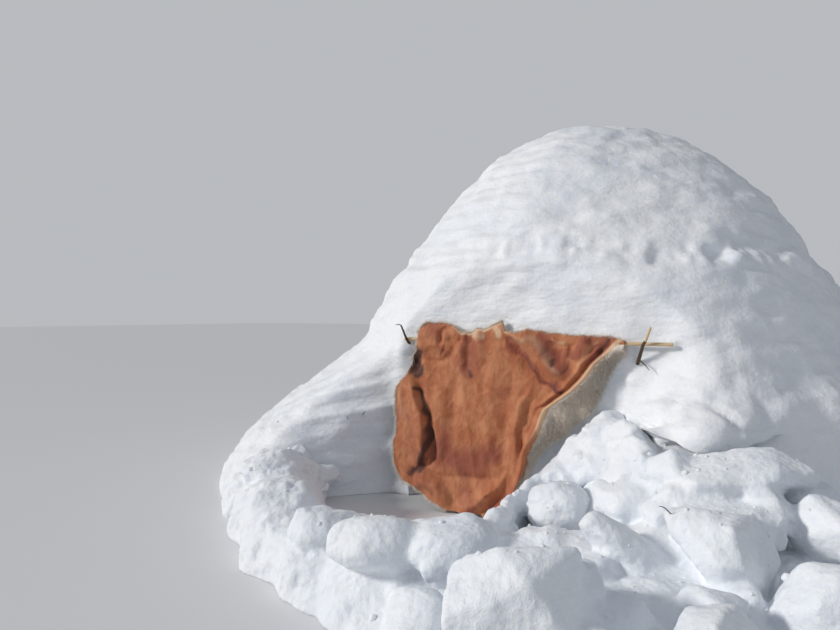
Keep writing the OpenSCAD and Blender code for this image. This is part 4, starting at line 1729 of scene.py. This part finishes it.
@dataclass
class HideCurtain(Placed):
    """The hide: tucked down behind the stick, over it, and down in front, with its own folds."""

    rod_y: float
    rod_z: float
    snug: float = 0.0135
    bulk: float = 0.026
    tuck: float = 0.105
    hem_z: float = 0.014
    hem_out: float = 0.13
    thickness: float = 0.005
    cols: int = 210
    drop_rows: int = 190
    over_rows: int = 17
    back_rows: int = 8
    tuck_rows: int = 20
    bend_tall: float = 0.16
    waves: Layers = ((0.011, (0.15, 1.0, 0.45), 131), (0.007, (0.065, 1.0, 0.19), 133),
                     (0.003, (0.034, 1.0, 0.075), 134))
    left_edge: Line = field(default_factory=lambda: [
        (0.975, -0.645), (0.90, -0.645), (0.854, -0.675), (0.794, -0.692), (0.747, -0.70), (0.714, -0.735),
        (0.677, -0.762), (0.617, -0.765), (0.528, -0.757), (0.412, -0.75), (0.352, -0.765), (0.238, -0.75),
        (0.184, -0.72), (0.138, -0.68), (0.108, -0.60), (0.064, -0.51), (0.034, -0.42), (0.0, -0.36)])
    right_edge: Line = field(default_factory=lambda: [
        (0.975, 0.555), (0.923, 0.54), (0.841, 0.485), (0.74, 0.44), (0.668, 0.415), (0.608, 0.385),
        (0.55, 0.32), (0.465, 0.232), (0.421, 0.155), (0.332, 0.082), (0.245, 0.045), (0.179, 0.015),
        (0.079, -0.05), (0.0, -0.14)])
    seam_edge: Line = field(default_factory=lambda: [
        (0.975, 0.53), (0.922, 0.479), (0.848, 0.411), (0.775, 0.362), (0.71, 0.301), (0.654, 0.229),
        (0.608, 0.167), (0.512, 0.133), (0.437, 0.098), (0.36, 0.065), (0.306, 0.055), (0.223, 0.034),
        (0.137, 0.0), (0.0, -0.15)])
    folds: list[Fold] = field(default_factory=lambda: [Fold(*row) for row in (
        ([(-0.71, 0.8), (-0.665, 0.7), (-0.625, 0.62), (-0.588, 0.54), (-0.562, 0.456), (-0.548, 0.372),
          (-0.55, 0.304), (-0.585, 0.243), (-0.65, 0.165)], 0.09, 0.046, 0.19, 0.028),
        ([(-0.665, 0.76), (-0.593, 0.62), (-0.556, 0.54), (-0.53, 0.456), (-0.516, 0.372),
          (-0.518, 0.304), (-0.553, 0.243), (-0.62, 0.18)], 0.018, -0.038, 0.22, 0.036),
        ([(-0.685, 0.86), (-0.645, 0.8), (-0.6, 0.765)], 0.036, -0.045, 0.05),
        ([(-0.66, 0.88), (-0.6, 0.945), (-0.53, 0.97), (-0.45, 0.965), (-0.4, 0.92)], 0.062, 0.034, 0.09),
        ([(-0.5, 0.985), (-0.485, 0.945)], 0.028, -0.016), ([(-0.445, 1.01), (-0.425, 0.97)], 0.024, -0.018),
        ([(-0.65, 0.875), (-0.6, 0.833), (-0.498, 0.818), (-0.41, 0.875), (-0.362, 0.956),
          (-0.35, 1.02)], 0.022, -0.015, 0.08),
        ([(-0.45, 1.05), (-0.49, 0.985), (-0.505, 0.92)], 0.018, -0.022, 0.05),
        ([(-0.315, 1.08), (-0.305, 0.9), (-0.301, 0.7)], 0.022, -0.013, 0.12),
        ([(-0.25, 1.08), (-0.238, 0.84), (-0.23, 0.6)], 0.026, 0.012, 0.14),
        ([(-0.16, 1.04), (-0.03, 1.0), (0.065, 0.937), (0.155, 0.848), (0.23, 0.79),
          (0.31, 0.76)], 0.028, 0.044, 0.12, 0.05),
        ([(-0.1, 0.985), (-0.015, 0.919), (0.068, 0.829), (0.138, 0.763),
          (0.22, 0.712)], 0.036, -0.034, 0.09, 0.02),
        ([(0.13, 0.96), (0.19, 0.9), (0.235, 0.83)], 0.04, -0.026, 0.06),
        ([(0.12, 1.00), (0.2, 0.965), (0.28, 0.93)], 0.015, 0.014, 0.06),
        ([(0.335, 1.06), (0.34, 0.9), (0.31, 0.79)], 0.024, 0.022, 0.09),
        ([(0.285, 1.06), (0.285, 0.92), (0.27, 0.85)], 0.018, -0.016, 0.08),
        ([(0.39, 1.04), (0.385, 0.93), (0.35, 0.85)], 0.016, -0.012, 0.06),
        ([(0.48, 1.0), (0.44, 0.92), (0.385, 0.86)], 0.028, -0.026, 0.06),
        ([(0.09, 0.8), (0.04, 0.64), (0.0, 0.45), (-0.02, 0.2)], 0.024, 0.02, 0.25),
        ([(0.13, 0.77), (0.075, 0.6), (0.035, 0.44), (0.01, 0.24)], 0.018, -0.012, 0.2),
        ([(0.19, 0.7), (0.115, 0.54), (0.055, 0.36), (0.045, 0.25)], 0.016, 0.015, 0.15),
        ([(0.15, 0.66), (0.1, 0.52), (0.05, 0.42)], 0.011, -0.009, 0.1),
        ([(-0.02, 0.9), (-0.06, 0.62), (-0.09, 0.22)], 0.032, -0.01, 0.25),
        ([(-0.14, 0.97), (-0.16, 0.62), (-0.18, 0.22)], 0.035, 0.012, 0.3),
        ([(-0.36, 0.86), (-0.38, 0.6), (-0.41, 0.24)], 0.036, -0.013, 0.25),
        ([(-0.5, 0.82), (-0.47, 0.56), (-0.46, 0.24)], 0.045, 0.017, 0.25),
        ([(-0.6, 0.74), (-0.53, 0.6), (-0.47, 0.42)], 0.016, 0.01, 0.1),
        ([(-0.56, 0.22), (-0.45, 0.195), (-0.28, 0.205), (-0.08, 0.235)], 0.022, -0.017, 0.14),
        ([(-0.64, 0.1), (-0.56, 0.155), (-0.46, 0.14), (-0.4, 0.08), (-0.36, 0.02)], 0.038, 0.034, 0.1),
        ([(-0.34, -0.02), (-0.22, 0.075), (-0.1, 0.175), (-0.04, 0.26)], 0.032, 0.036, 0.12),
        ([(-0.24, -0.02), (-0.13, 0.06), (-0.04, 0.14)], 0.02, -0.018, 0.08),
        ([(0.068, 0.33), (0.06, 0.305)], 0.014, -0.03))])
    top_line: Line = field(default_factory=lambda: [
        (-0.66, 0.02), (-0.635, 0.055), (-0.60, 0.082), (-0.52, 0.088), (-0.44, 0.083), (-0.39, 0.045),
        (-0.36, 0.034), (-0.30, 0.034), (-0.265, 0.055), (-0.23, 0.045), (-0.19, 0.058), (-0.165, 0.078),
        (-0.12, 0.092), (-0.10, 0.042), (-0.05, 0.032), (0.0, 0.045), (0.03, 0.058), (0.08, 0.040),
        (0.16, 0.036), (0.26, 0.026), (0.36, 0.022), (0.46, 0.018), (0.52, 0.008), (0.56, 0.0)])
    # Red patches; those along grooves and the diagonal crease are painted shade.
    stain_and_shade_marks: list[Fold] = field(default_factory=lambda: [Fold(*row) for row in (
        ([(-0.45, 0.34), (-0.33, 0.28), (-0.2, 0.28), (-0.12, 0.33)], 0.085, 0.9),
        ([(-0.48, 0.44), (-0.4, 0.4)], 0.06, 0.5), ([(0.11, 0.955), (0.2, 0.875), (0.25, 0.81)], 0.05, 1.0),
        ([(0.25, 0.9), (0.31, 0.89), (0.35, 0.95)], 0.045, 0.9),
        ([(-0.05, 0.94), (0.06, 0.829), (0.13, 0.763), (0.21, 0.712)], 0.03, 0.9),
        ([(-0.305, 0.95), (-0.3, 0.78)], 0.05, 0.7), ([(0.45, 0.95), (0.4, 0.88)], 0.05, 0.8),
        ([(-0.15, 0.04), (-0.03, 0.12), (0.02, 0.25)], 0.035, 0.6))])
    # Painted shade: near-black marks under the top bunch, in the lobe's crease and the diagonal crease, in
    # grooves and in the hole by the turned edge.
    painted_shade_marks: list[Fold] = field(default_factory=lambda: [Fold(*row) for row in (
        ([(-0.645, 0.875), (-0.655, 0.8), (-0.625, 0.775)], 0.046, 1.5),
        ([(0.068, 0.33), (0.06, 0.305)], 0.017, 1.0), ([(0.2, 0.86), (0.215, 0.835)], 0.02, 0.8),
        ([(-0.3, 0.8), (-0.29, 0.775)], 0.018, 0.7), ([(0.46, 0.95), (0.44, 0.92)], 0.022, 0.7),
        ([(-0.62, 0.66), (-0.572, 0.56), (-0.545, 0.45), (-0.53, 0.37), (-0.536, 0.29),
          (-0.575, 0.235)], 0.023, 1.0),
        ([(0.02, 0.86), (0.075, 0.8), (0.13, 0.757), (0.19, 0.727)], 0.011, 0.6),
        ([(-0.6, 0.235), (-0.645, 0.18)], 0.024, 0.8), ([(0.17, 0.72), (0.22, 0.7)], 0.012, 0.7))])
    # Pale fur below the crest, and painted highlight on the diagonal ridge, small ridges beside it and the
    # left lobe.
    pale_and_highlight_marks: list[Fold] = field(default_factory=lambda: [Fold(*row) for row in (
        ([(-0.15, 1.07), (-0.15, 1.0)], 0.026, 1.0), ([(-0.27, 1.04), (-0.265, 0.985)], 0.024, 0.9),
        ([(-0.06, 0.985), (0.047, 0.96), (0.11, 0.92), (0.167, 0.87), (0.225, 0.8)], 0.03, 0.42),
        ([(0.19, 0.967), (0.246, 0.968)], 0.014, 0.5), ([(0.39, 0.93), (0.33, 0.83)], 0.016, 0.4),
        ([(-0.74, 0.7), (-0.72, 0.55)], 0.05, 0.32))])

    def edges(self, z: Array) -> tuple[Array, Array, Array]:
        """Outline of the hide at given heights.

        Args:
            z: Heights.

        Returns:
            The left edge, the line where the fur turns out, and the right edge.
        """
        return tuple(edge_at(line, z) for line in (self.left_edge, self.seam_edge, self.right_edge))

    def hang(self, x: Array, z: Array) -> Array:
        """How far the hide stands out in front of the stick's axis.

        Args:
            x: Places across.
            z: Heights.

        Returns:
            Distances towards the outside.
        """
        drop = np.clip((self.rod_z - z) / (self.rod_z - self.hem_z), 0.0, 1.0)
        space = across(x, z)
        warp = 0.016 * noise_columns(space, 0.10, 171, 2)
        folded = sum(f.at(space[:, [0, 2]] + warp) for f in self.folds)
        folded *= 1.0 + 0.35 * noise(space, 0.12, 173)
        _, seam, right = self.edges(z)
        rolled = self.rolled_edge(x - seam, drop)
        beyond = np.clip((x - seam) / np.maximum(right - seam, 0.01), 0.0, 1.0)
        turned_back = -0.06 * beyond**1.3 * ease(drop / 0.1)
        lean = space + across(0.25 * z) * np.array([1.0, 0.0, 0.0])
        wavy = layers(lean, self.waves) + 0.0016 * fractal(space, (0.02, 1.0, 0.035), 2, 135)
        cross = space @ np.array([[0.8, 0.0, 0.5], [0.0, 1.0, 0.0], [-0.6, 0.0, 0.85]])
        for height, where, size, seed in ((0.010, lean, (0.11, 1.0, 0.22), 136),
                                          (0.004, cross, (0.08, 1.0, 0.16), 137),
                                          (0.002, cross, (0.03, 1.0, 0.06), 138)):
            wavy -= height * np.abs(noise(where, size, seed))
        stand = self.snug + self.hem_out * drop**1.15 + self.bulk * (0.45 + 0.55 * ease(drop / 0.04))
        on_rod = hump(np.maximum(0.0, self.rod_z - z) / 0.03)
        return np.maximum(stand + folded + wavy + rolled + turned_back, mix(-0.004, self.snug, on_rod))

    def rolled_edge(self, beyond: Array, drop: Array) -> Array:
        """Double roll where the skin turns and the fur begins.

        Args:
            beyond: Distance to the right of the seam.
            drop: Share of the way down the hide.

        Returns:
            How far it stands out.
        """
        outer = 0.026 * hump((beyond + 0.008) / 0.020)
        inner = 0.018 * hump((beyond + 0.066) / 0.018) - 0.012 * hump((beyond + 0.040) / 0.010)
        return (outer + inner * ease((0.45 - drop) / 0.15)) * ease(drop / 0.08)

    def over_rod(self, x: Array) -> Array:
        """How high the bunched hide stands over the top of the stick.

        Args:
            x: Places across.

        Returns:
            Height over the snug turn round the stick.
        """
        places, heights = np.array(self.top_line).T
        ripple = layers(across(x), ((0.005, 0.05, 141), (0.003, 0.02, 142)))
        return np.maximum(0.0, np.interp(x, places, heights) + ripple)

    def marks(self, points: Array, paths: list[Fold]) -> Array:
        """Strength of coloured marks on the hide.

        Args:
            points: Places in x and height.
            paths: The marks, each with its strength as lift.

        Returns:
            Strength from 0 to 1.
        """
        moved = points + 0.03 * noise_columns(np.c_[points, points[:, 0] * 0.0], 0.07, 161, 2)
        return np.clip(np.max([mark.at(moved) for mark in paths], axis=0), 0.0, 1.0)

    def sheet_points(self) -> tuple[Array, Array]:
        """Points of the sheet and their places on the hide when it is laid flat.

        Returns:
            Grid of points from the hem up and over, and grid of flat coordinates.
        """
        rows = []
        share = np.linspace(0.0, 1.0, int(self.cols * DETAIL))
        heights = np.linspace(self.hem_z, self.rod_z, int(self.drop_rows * DETAIL))
        left, _, right = self.edges(heights)
        for z, x0, x1 in zip(heights, left, right):
            x = mix(x0, x1, share)
            rows.append((x, -self.rod_y - self.hang(x, np.full_like(x, z)), z, z))
        above = self.snug + self.over_rod(x)
        for t in np.linspace(0.0, math.pi / 2.0, self.over_rows)[1:]:
            z = self.rod_z + above * math.sin(t)
            rows.append((x, -self.rod_y - self.hang(x, z) * abs(math.cos(t)) ** 0.6, z, z))
        for t in np.linspace(math.pi / 2.0, math.pi, self.back_rows)[1:]:
            laid = self.rod_z + above * (2.0 - math.sin(t))
            rows.append((x, -self.rod_y - self.snug * math.cos(t), self.rod_z + above * math.sin(t), laid))
        ragged = self.tuck * (0.82 + 0.18 * noise(across(x), 0.09, 151))
        for t in np.linspace(0.0, 1.0, self.tuck_rows)[1:]:
            y = -self.rod_y + self.snug + 0.002 * np.sin(x * 40.0 + 3.0 * t)
            rows.append((x, y, self.rod_z - ragged * t, self.rod_z + 2.0 * above + ragged * t))
        table = np.array([np.broadcast_arrays(*row) for row in rows])
        return table[:, :3].transpose(0, 2, 1), table[:, [0, 3]].transpose(0, 2, 1)

    def build(self, skin: Material, fur: Material) -> Object:
        """Builds the hide as a thin closed sheet.

        Args:
            skin: Finish of the side that faces out.
            fur: Finish of the side that faces in, which also shows where the edge turns.

        Returns:
            The object.
        """
        grid, flat = self.sheet_points()
        rows, cols = grid.shape[:2]
        piece = mesh_object("hide_curtain_skin", self.placed(grid.reshape(-1, 3)), grid_faces(rows, cols))
        piece.data.materials.append(skin)
        piece.data.materials.append(fur)
        _, seam, _ = self.edges(grid[:-1, :-1, 2].ravel())
        in_front = np.arange(rows - 1).repeat(cols - 1) < int(self.drop_rows * DETAIL) - 2
        turned_out = (grid[:-1, :-1, 0].ravel() > seam + 0.006) & in_front
        piece.data.polygons.foreach_set("material_index", turned_out.astype(int))
        set_flat(piece, flat.reshape(-1, 2))
        self.mark(piece, grid, flat)
        apply_modifier(piece, "SOLIDIFY", thickness=self.thickness, offset=-1.0, use_even_offset=False,
                       material_offset=1, material_offset_rim=0)
        piece.data.shade_smooth()
        return piece

    def mark(self, piece: Object, grid: Array, flat: Array) -> None:
        """Stores where the skin has red patches, partly painted shade along grooves, where shade is painted
        into creases and hollows, and where it is pale, partly as painted highlight.

        Args:
            piece: The sheet before it is thickened.
            grid: Its points.
            flat: Their flat coordinates.
        """
        spots = flat.reshape(-1, 2)
        x, _, heights = grid.reshape(-1, 3).T
        beyond = x - self.edges(heights)[1]
        # Pale along the rolled edge: the cut edge's own paleness with a painted highlight on the roll.
        pale_and_highlight = 0.85 * np.exp(-(((beyond + 0.006) / 0.019) ** 4)) * ease((heights - 0.35) / 0.2)
        crest = self.rod_z + self.snug + self.over_rod(x)
        tuft = np.exp(-(((x + 0.24) / 0.17) ** 4))
        pale_and_highlight = np.maximum(pale_and_highlight, (0.25 + 0.75 * tuft) * ease((spots[:, 1] - crest + 0.024) / 0.018))
        pale_and_highlight = np.maximum(pale_and_highlight, self.marks(spots, self.pale_and_highlight_marks))
        stain_and_shade_share, painted_shade_share = self.marks(spots, self.stain_and_shade_marks), self.marks(spots, self.painted_shade_marks)
        for name, value in (("stain_and_shade", stain_and_shade_share), ("painted_shade", painted_shade_share), ("pale_and_highlight", pale_and_highlight)):
            piece.data.attributes.new(name, "FLOAT", "POINT").data.foreach_set("value", value)

    def dress(self, piece: Object, hairs: Object) -> None:
        """Hangs the hide and its hairs in the frame.

        Args:
            piece: The hide.
            hairs: The hairs along its edges.
        """
        for cloth in (piece, hairs):
            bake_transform(cloth)
            log.info("%s: %d faces", cloth.name, len(cloth.data.polygons))
        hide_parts("hide")


@dataclass
class HideHairs:
    """Hairs that stand out from the turned edge and the rims of the hide."""

    curtain: HideCurtain
    margin_count: int = 9000
    rim_count: int = 2600
    top_count: int = 1500
    length: float = 0.028
    thickness: Rows = ((0.0, 0.00085), (0.5, 0.00065))
    lowest: float = 0.004
    top_span: tuple[float, float] = (-0.645, 0.50)
    tufts: Rows = ((-0.135, 0.03, 3), (-0.62, 0.02, 4))

    def roots(self, rng: Rng) -> tuple[Array, Array]:
        """Roots of the hairs and the ways that they lie.

        Args:
            rng: Source of random numbers.

        Returns:
            Places and directions, one row each.
        """
        cur = self.curtain
        z = rng.uniform(cur.hem_z + 0.05, cur.rod_z - 0.03, self.margin_count)
        _, seam, right = cur.edges(z)
        x = mix(seam + 0.006, right + 0.002, rng.uniform(size=len(z)) ** 0.8)
        ways = [scattered(rng, len(z), (0.55, 0.25), (-0.28, 0.12), (-0.75, 0.2))]
        z_rim = rng.uniform(cur.hem_z, cur.rod_z, self.rim_count)
        ways.append(scattered(rng, len(z_rim), (-0.5, 0.3), (0.1, 0.35), (-0.6, 0.3)))
        x = np.concatenate([x, cur.edges(z_rim)[0] + 0.002])
        z = np.concatenate([z, z_rim])
        spread_out = rng.uniform(*self.top_span, self.top_count)
        bunched = [rng.normal(x, spread, self.top_count // part) for x, spread, part in self.tufts]
        top_x = np.concatenate([spread_out, *bunched])
        top = np.stack([top_x, -cur.rod_y + rng.uniform(-0.01, 0.012, len(top_x)),
                        cur.rod_z + cur.snug + cur.over_rod(top_x) - 0.004], axis=1)
        ways.append(scattered(rng, len(top_x), (-0.2, 0.5), (-0.1, 0.4), (0.7, 0.3)))
        hung = np.stack([x, -cur.rod_y - cur.hang(x, z) + 0.001, z], axis=1)
        return np.concatenate([hung, top]), unit(np.concatenate(ways))

    def build(self, fur: Material) -> Object:
        """Builds all hairs as one mesh of thin three-sided spikes.

        Args:
            fur: Finish of the hairs.

        Returns:
            The object.
        """
        rng = np.random.default_rng(5)
        root, way = self.roots(rng)
        length = self.length * rng.uniform(0.55, 1.2, len(root))
        side = unit(np.cross(way, rng.normal(size=root.shape)))
        other = np.cross(way, side)
        droop = np.array([0.0, 0.0, -0.25])
        levels = []
        for t, thick in self.thickness:
            middle = root + way * (length * t)[:, None] + droop * (length * t * t)[:, None]
            for turn in (0.0, 2.0 * math.pi / 3.0, 4.0 * math.pi / 3.0):
                levels.append(middle + thick * (math.cos(turn) * side + math.sin(turn) * other))
        grid = np.stack(levels + [root + (way + droop) * length[:, None]], axis=1)
        spike = np.array([[0, 1, 4], [0, 4, 3], [1, 2, 5], [1, 5, 4], [2, 0, 3], [2, 3, 5],
                          [3, 4, 6], [4, 5, 6], [5, 3, 6], [0, 2, 1]])
        faces = (np.arange(len(root))[:, None, None] * grid.shape[1] + spike).reshape(-1, 3).tolist()
        points = self.curtain.placed(grid.reshape(-1, 3))
        points[:, 2] = np.maximum(points[:, 2], self.lowest)
        piece = mesh_object("hide_curtain_hairs", points, faces)
        piece.data.materials.append(fur)
        set_flat(piece, points[:, [0, 2]])
        return piece


def scattered(rng: Rng, count: int, *axes: tuple[float, float]) -> Array:
    """Random directions about a middle one, given as middle and spread on each axis."""
    return np.stack([rng.normal(middle, spread, count) for middle, spread in axes], axis=1)


@dataclass
class Straws(FixedPart):
    """A few dry straws that were heaped with the snow and stick out of it."""

    stalks: list[tuple[Point, Point]] = field(default_factory=lambda: [
        ((-1.01, -1.60, 0.48), (0.05, -0.05, 0.03)), ((-1.08, -1.66, 0.47), (0.04, -0.05, 0.0)),
        ((0.88, -2.36, 0.37), (-0.03, -0.035, 0.03))])

    def build(self, snow: list[Object], bark: Material) -> None:
        """Builds the straws where they come out of the snow.

        Args:
            snow: The pieces that they may stick in.
            bark: Their finish.
        """
        trees = trees_of(snow)
        sticks = []
        for place, way in self.stalks:
            wanted = Vector(place) + Vector((0.0, self.axis_y, 0.0))
            spot, normal = min((tree.find_nearest(wanted) for tree in trees), key=lambda found: found[3])[:2]
            start = spot - 0.01 * normal
            bend = start + Vector(way) * 0.6 + 0.02 * normal
            path = [start, bend, start + Vector(way) * 1.3]
            sticks.append(Branch(bark, path, [0.0024, 0.002, 0.0012], 0.001, 0.1, 8))
        self.dress(branches_object("snow_straws", sticks), "bark_twig")


@dataclass
class Studio:
    """Plain floor, soft lights and the camera at the photograph's place."""

    axis_y: float
    camera_place: Point = (1.208, -4.82, 1.10)
    camera_yaw: float = 29.4
    focal_px: float = 630.0
    picture_px: float = 840.0
    floor_half: float = 60.0
    floor_z: float = -0.002
    floor_colour: Point = (0.74, 0.75, 0.77)
    sky_colour: Point = (0.27, 0.285, 0.31)
    backdrop_colour: Point = (0.48, 0.495, 0.52)

    def camera(self) -> None:
        """Sets the camera at the photograph's place, turn and opening."""
        data = bpy.data.cameras.new("camera")
        data.sensor_width = 36.0
        data.lens = self.focal_px / self.picture_px * data.sensor_width
        data.clip_end = 200.0
        camera = linked("camera", data)
        camera.location = Vector(self.camera_place) + Vector((0.0, self.axis_y, 0.0))
        camera.rotation_euler = (math.radians(90.0), 0.0, math.radians(self.camera_yaw))
        bpy.context.scene.camera = camera

    def floor(self) -> None:
        """Lays the floor, a wide plain sheet just under the snow."""
        corners = np.array([(-1, -1), (1, -1), (1, 1), (-1, 1)]) * self.floor_half
        sheet = mesh_object("floor", np.c_[corners, [self.floor_z] * 4], [[0, 1, 2, 3]], smooth=False)
        paint = Paint("floor_paint")
        sheet.data.materials.append(paint.done({"Base Color": rgba(self.floor_colour), "Roughness": 0.9}))

    def lamp(self, kind: str, place: Point, aim: Point, power: float, colour: Point,
             **settings: float) -> None:
        """Adds one lamp.

        Args:
            kind: Blender's name of its type.
            place: Where it stands, or for a sun where it shines from.
            aim: What it points at.
            power: Watts, or for a sun watts on a square metre.
            colour: Its colour.
            settings: Values of the lamp's other properties.
        """
        data = bpy.data.lights.new(kind.lower(), kind)
        data.energy = power
        data.color = colour
        for key, value in settings.items():
            setattr(data, key, value)
        lamp = linked(data.name, data)
        lamp.location = place
        lamp.rotation_euler = (Vector(aim) - Vector(place)).to_track_quat("-Z", "Y").to_euler()

    def light(self) -> None:
        """Lights the object from the left and softly from all round."""
        self.lamp("SUN", (-6.0, -4.6, 3.6), (0.0, 0.0, 0.0), 2.3, (1.0, 0.965, 0.92), angle=math.radians(9.0))
        self.lamp("AREA", (5.0, -6.0, 5.0), (0.3, -0.5, 0.8), 50.0, (0.93, 0.96, 1.0), size=4.0)
        world = bpy.data.worlds.new("world")
        bpy.context.scene.world = world
        world.use_nodes = True
        net = Net(world.node_tree)
        seen = net.add("LightPath").outputs["Is Camera Ray"]
        colour = net.blend(seen, rgba(self.sky_colour), rgba(self.backdrop_colour))
        net.feed(world.node_tree.nodes["Background"], "Color", colour)
        bpy.context.scene.view_settings.view_transform = "Standard"

    def build(self) -> None:
        """Sets up the whole studio."""
        self.camera()
        self.floor()
        self.light()


def main() -> None:
    """Loads the frame and builds every piece around it."""
    logging.basicConfig(level=logging.INFO, format="%(name)s: %(message)s")
    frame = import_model()
    low, high = (Vector(corner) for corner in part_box("rod"))
    form = MoundForm()
    rod_out = form.face_y + ROD_STANDS_OUT
    axis_y = (low.y + high.y) / 2.0 + rod_out
    rod_z = (low.z + high.z) / 2.0
    log.info("axis of the mound at y = %.4f m", axis_y)

    Studio(axis_y).build()
    effects = EffectGroups()
    packed = SnowFinish("packed_snow").build(effects)
    dug = SnowFinish("dug_snow", colour=(0.84, 0.87, 0.91), grain_scale=48.0, grain_depth=0.008,
                     lump_scale=12.0, lump_squash=1.0, lump_depth=0.02).build(effects)
    skin = SkinFinish("hide_skin").build(effects)
    fur = FurFinish("hide_fur").build(effects)
    wood = WoodFinish("peeled_stick", (0.66, 0.50, 0.31), (0.44, 0.29, 0.15)).build(effects)
    bark = WoodFinish("twig_bark", (0.085, 0.05, 0.032), (0.03, 0.018, 0.012), 140.0, 0.002).build(effects)

    names = list(frame["nodes"])
    shell = tuple(n for n in names if n.startswith(("door_", "foot_", "wall_", "haunch_", "roof_", "crown")))
    dug_nodes = tuple(n for n in names if n.startswith(("heap_", "rim_")))
    curtain = HideCurtain(axis_y, rod_out, rod_z)
    mound = SnowMound(axis_y, form, shell, curtain.right_edge).build(packed)
    heap = SnowHeap(axis_y, form, dug_nodes, curtain.right_edge, (rod_out, rod_z)).build(dug)
    Crumbs(axis_y).build([heap, mound], dug)

    sticks = CurtainRod(axis_y, bark, wood)
    sticks.build_rod()
    sticks.build_left_twig()
    sticks.build_right_twig()
    curtain.dress(curtain.build(skin, fur), HideHairs(curtain).build(fur))
    Straws(axis_y).build([mound, heap], bark)


if __name__ == "__main__":
    main()
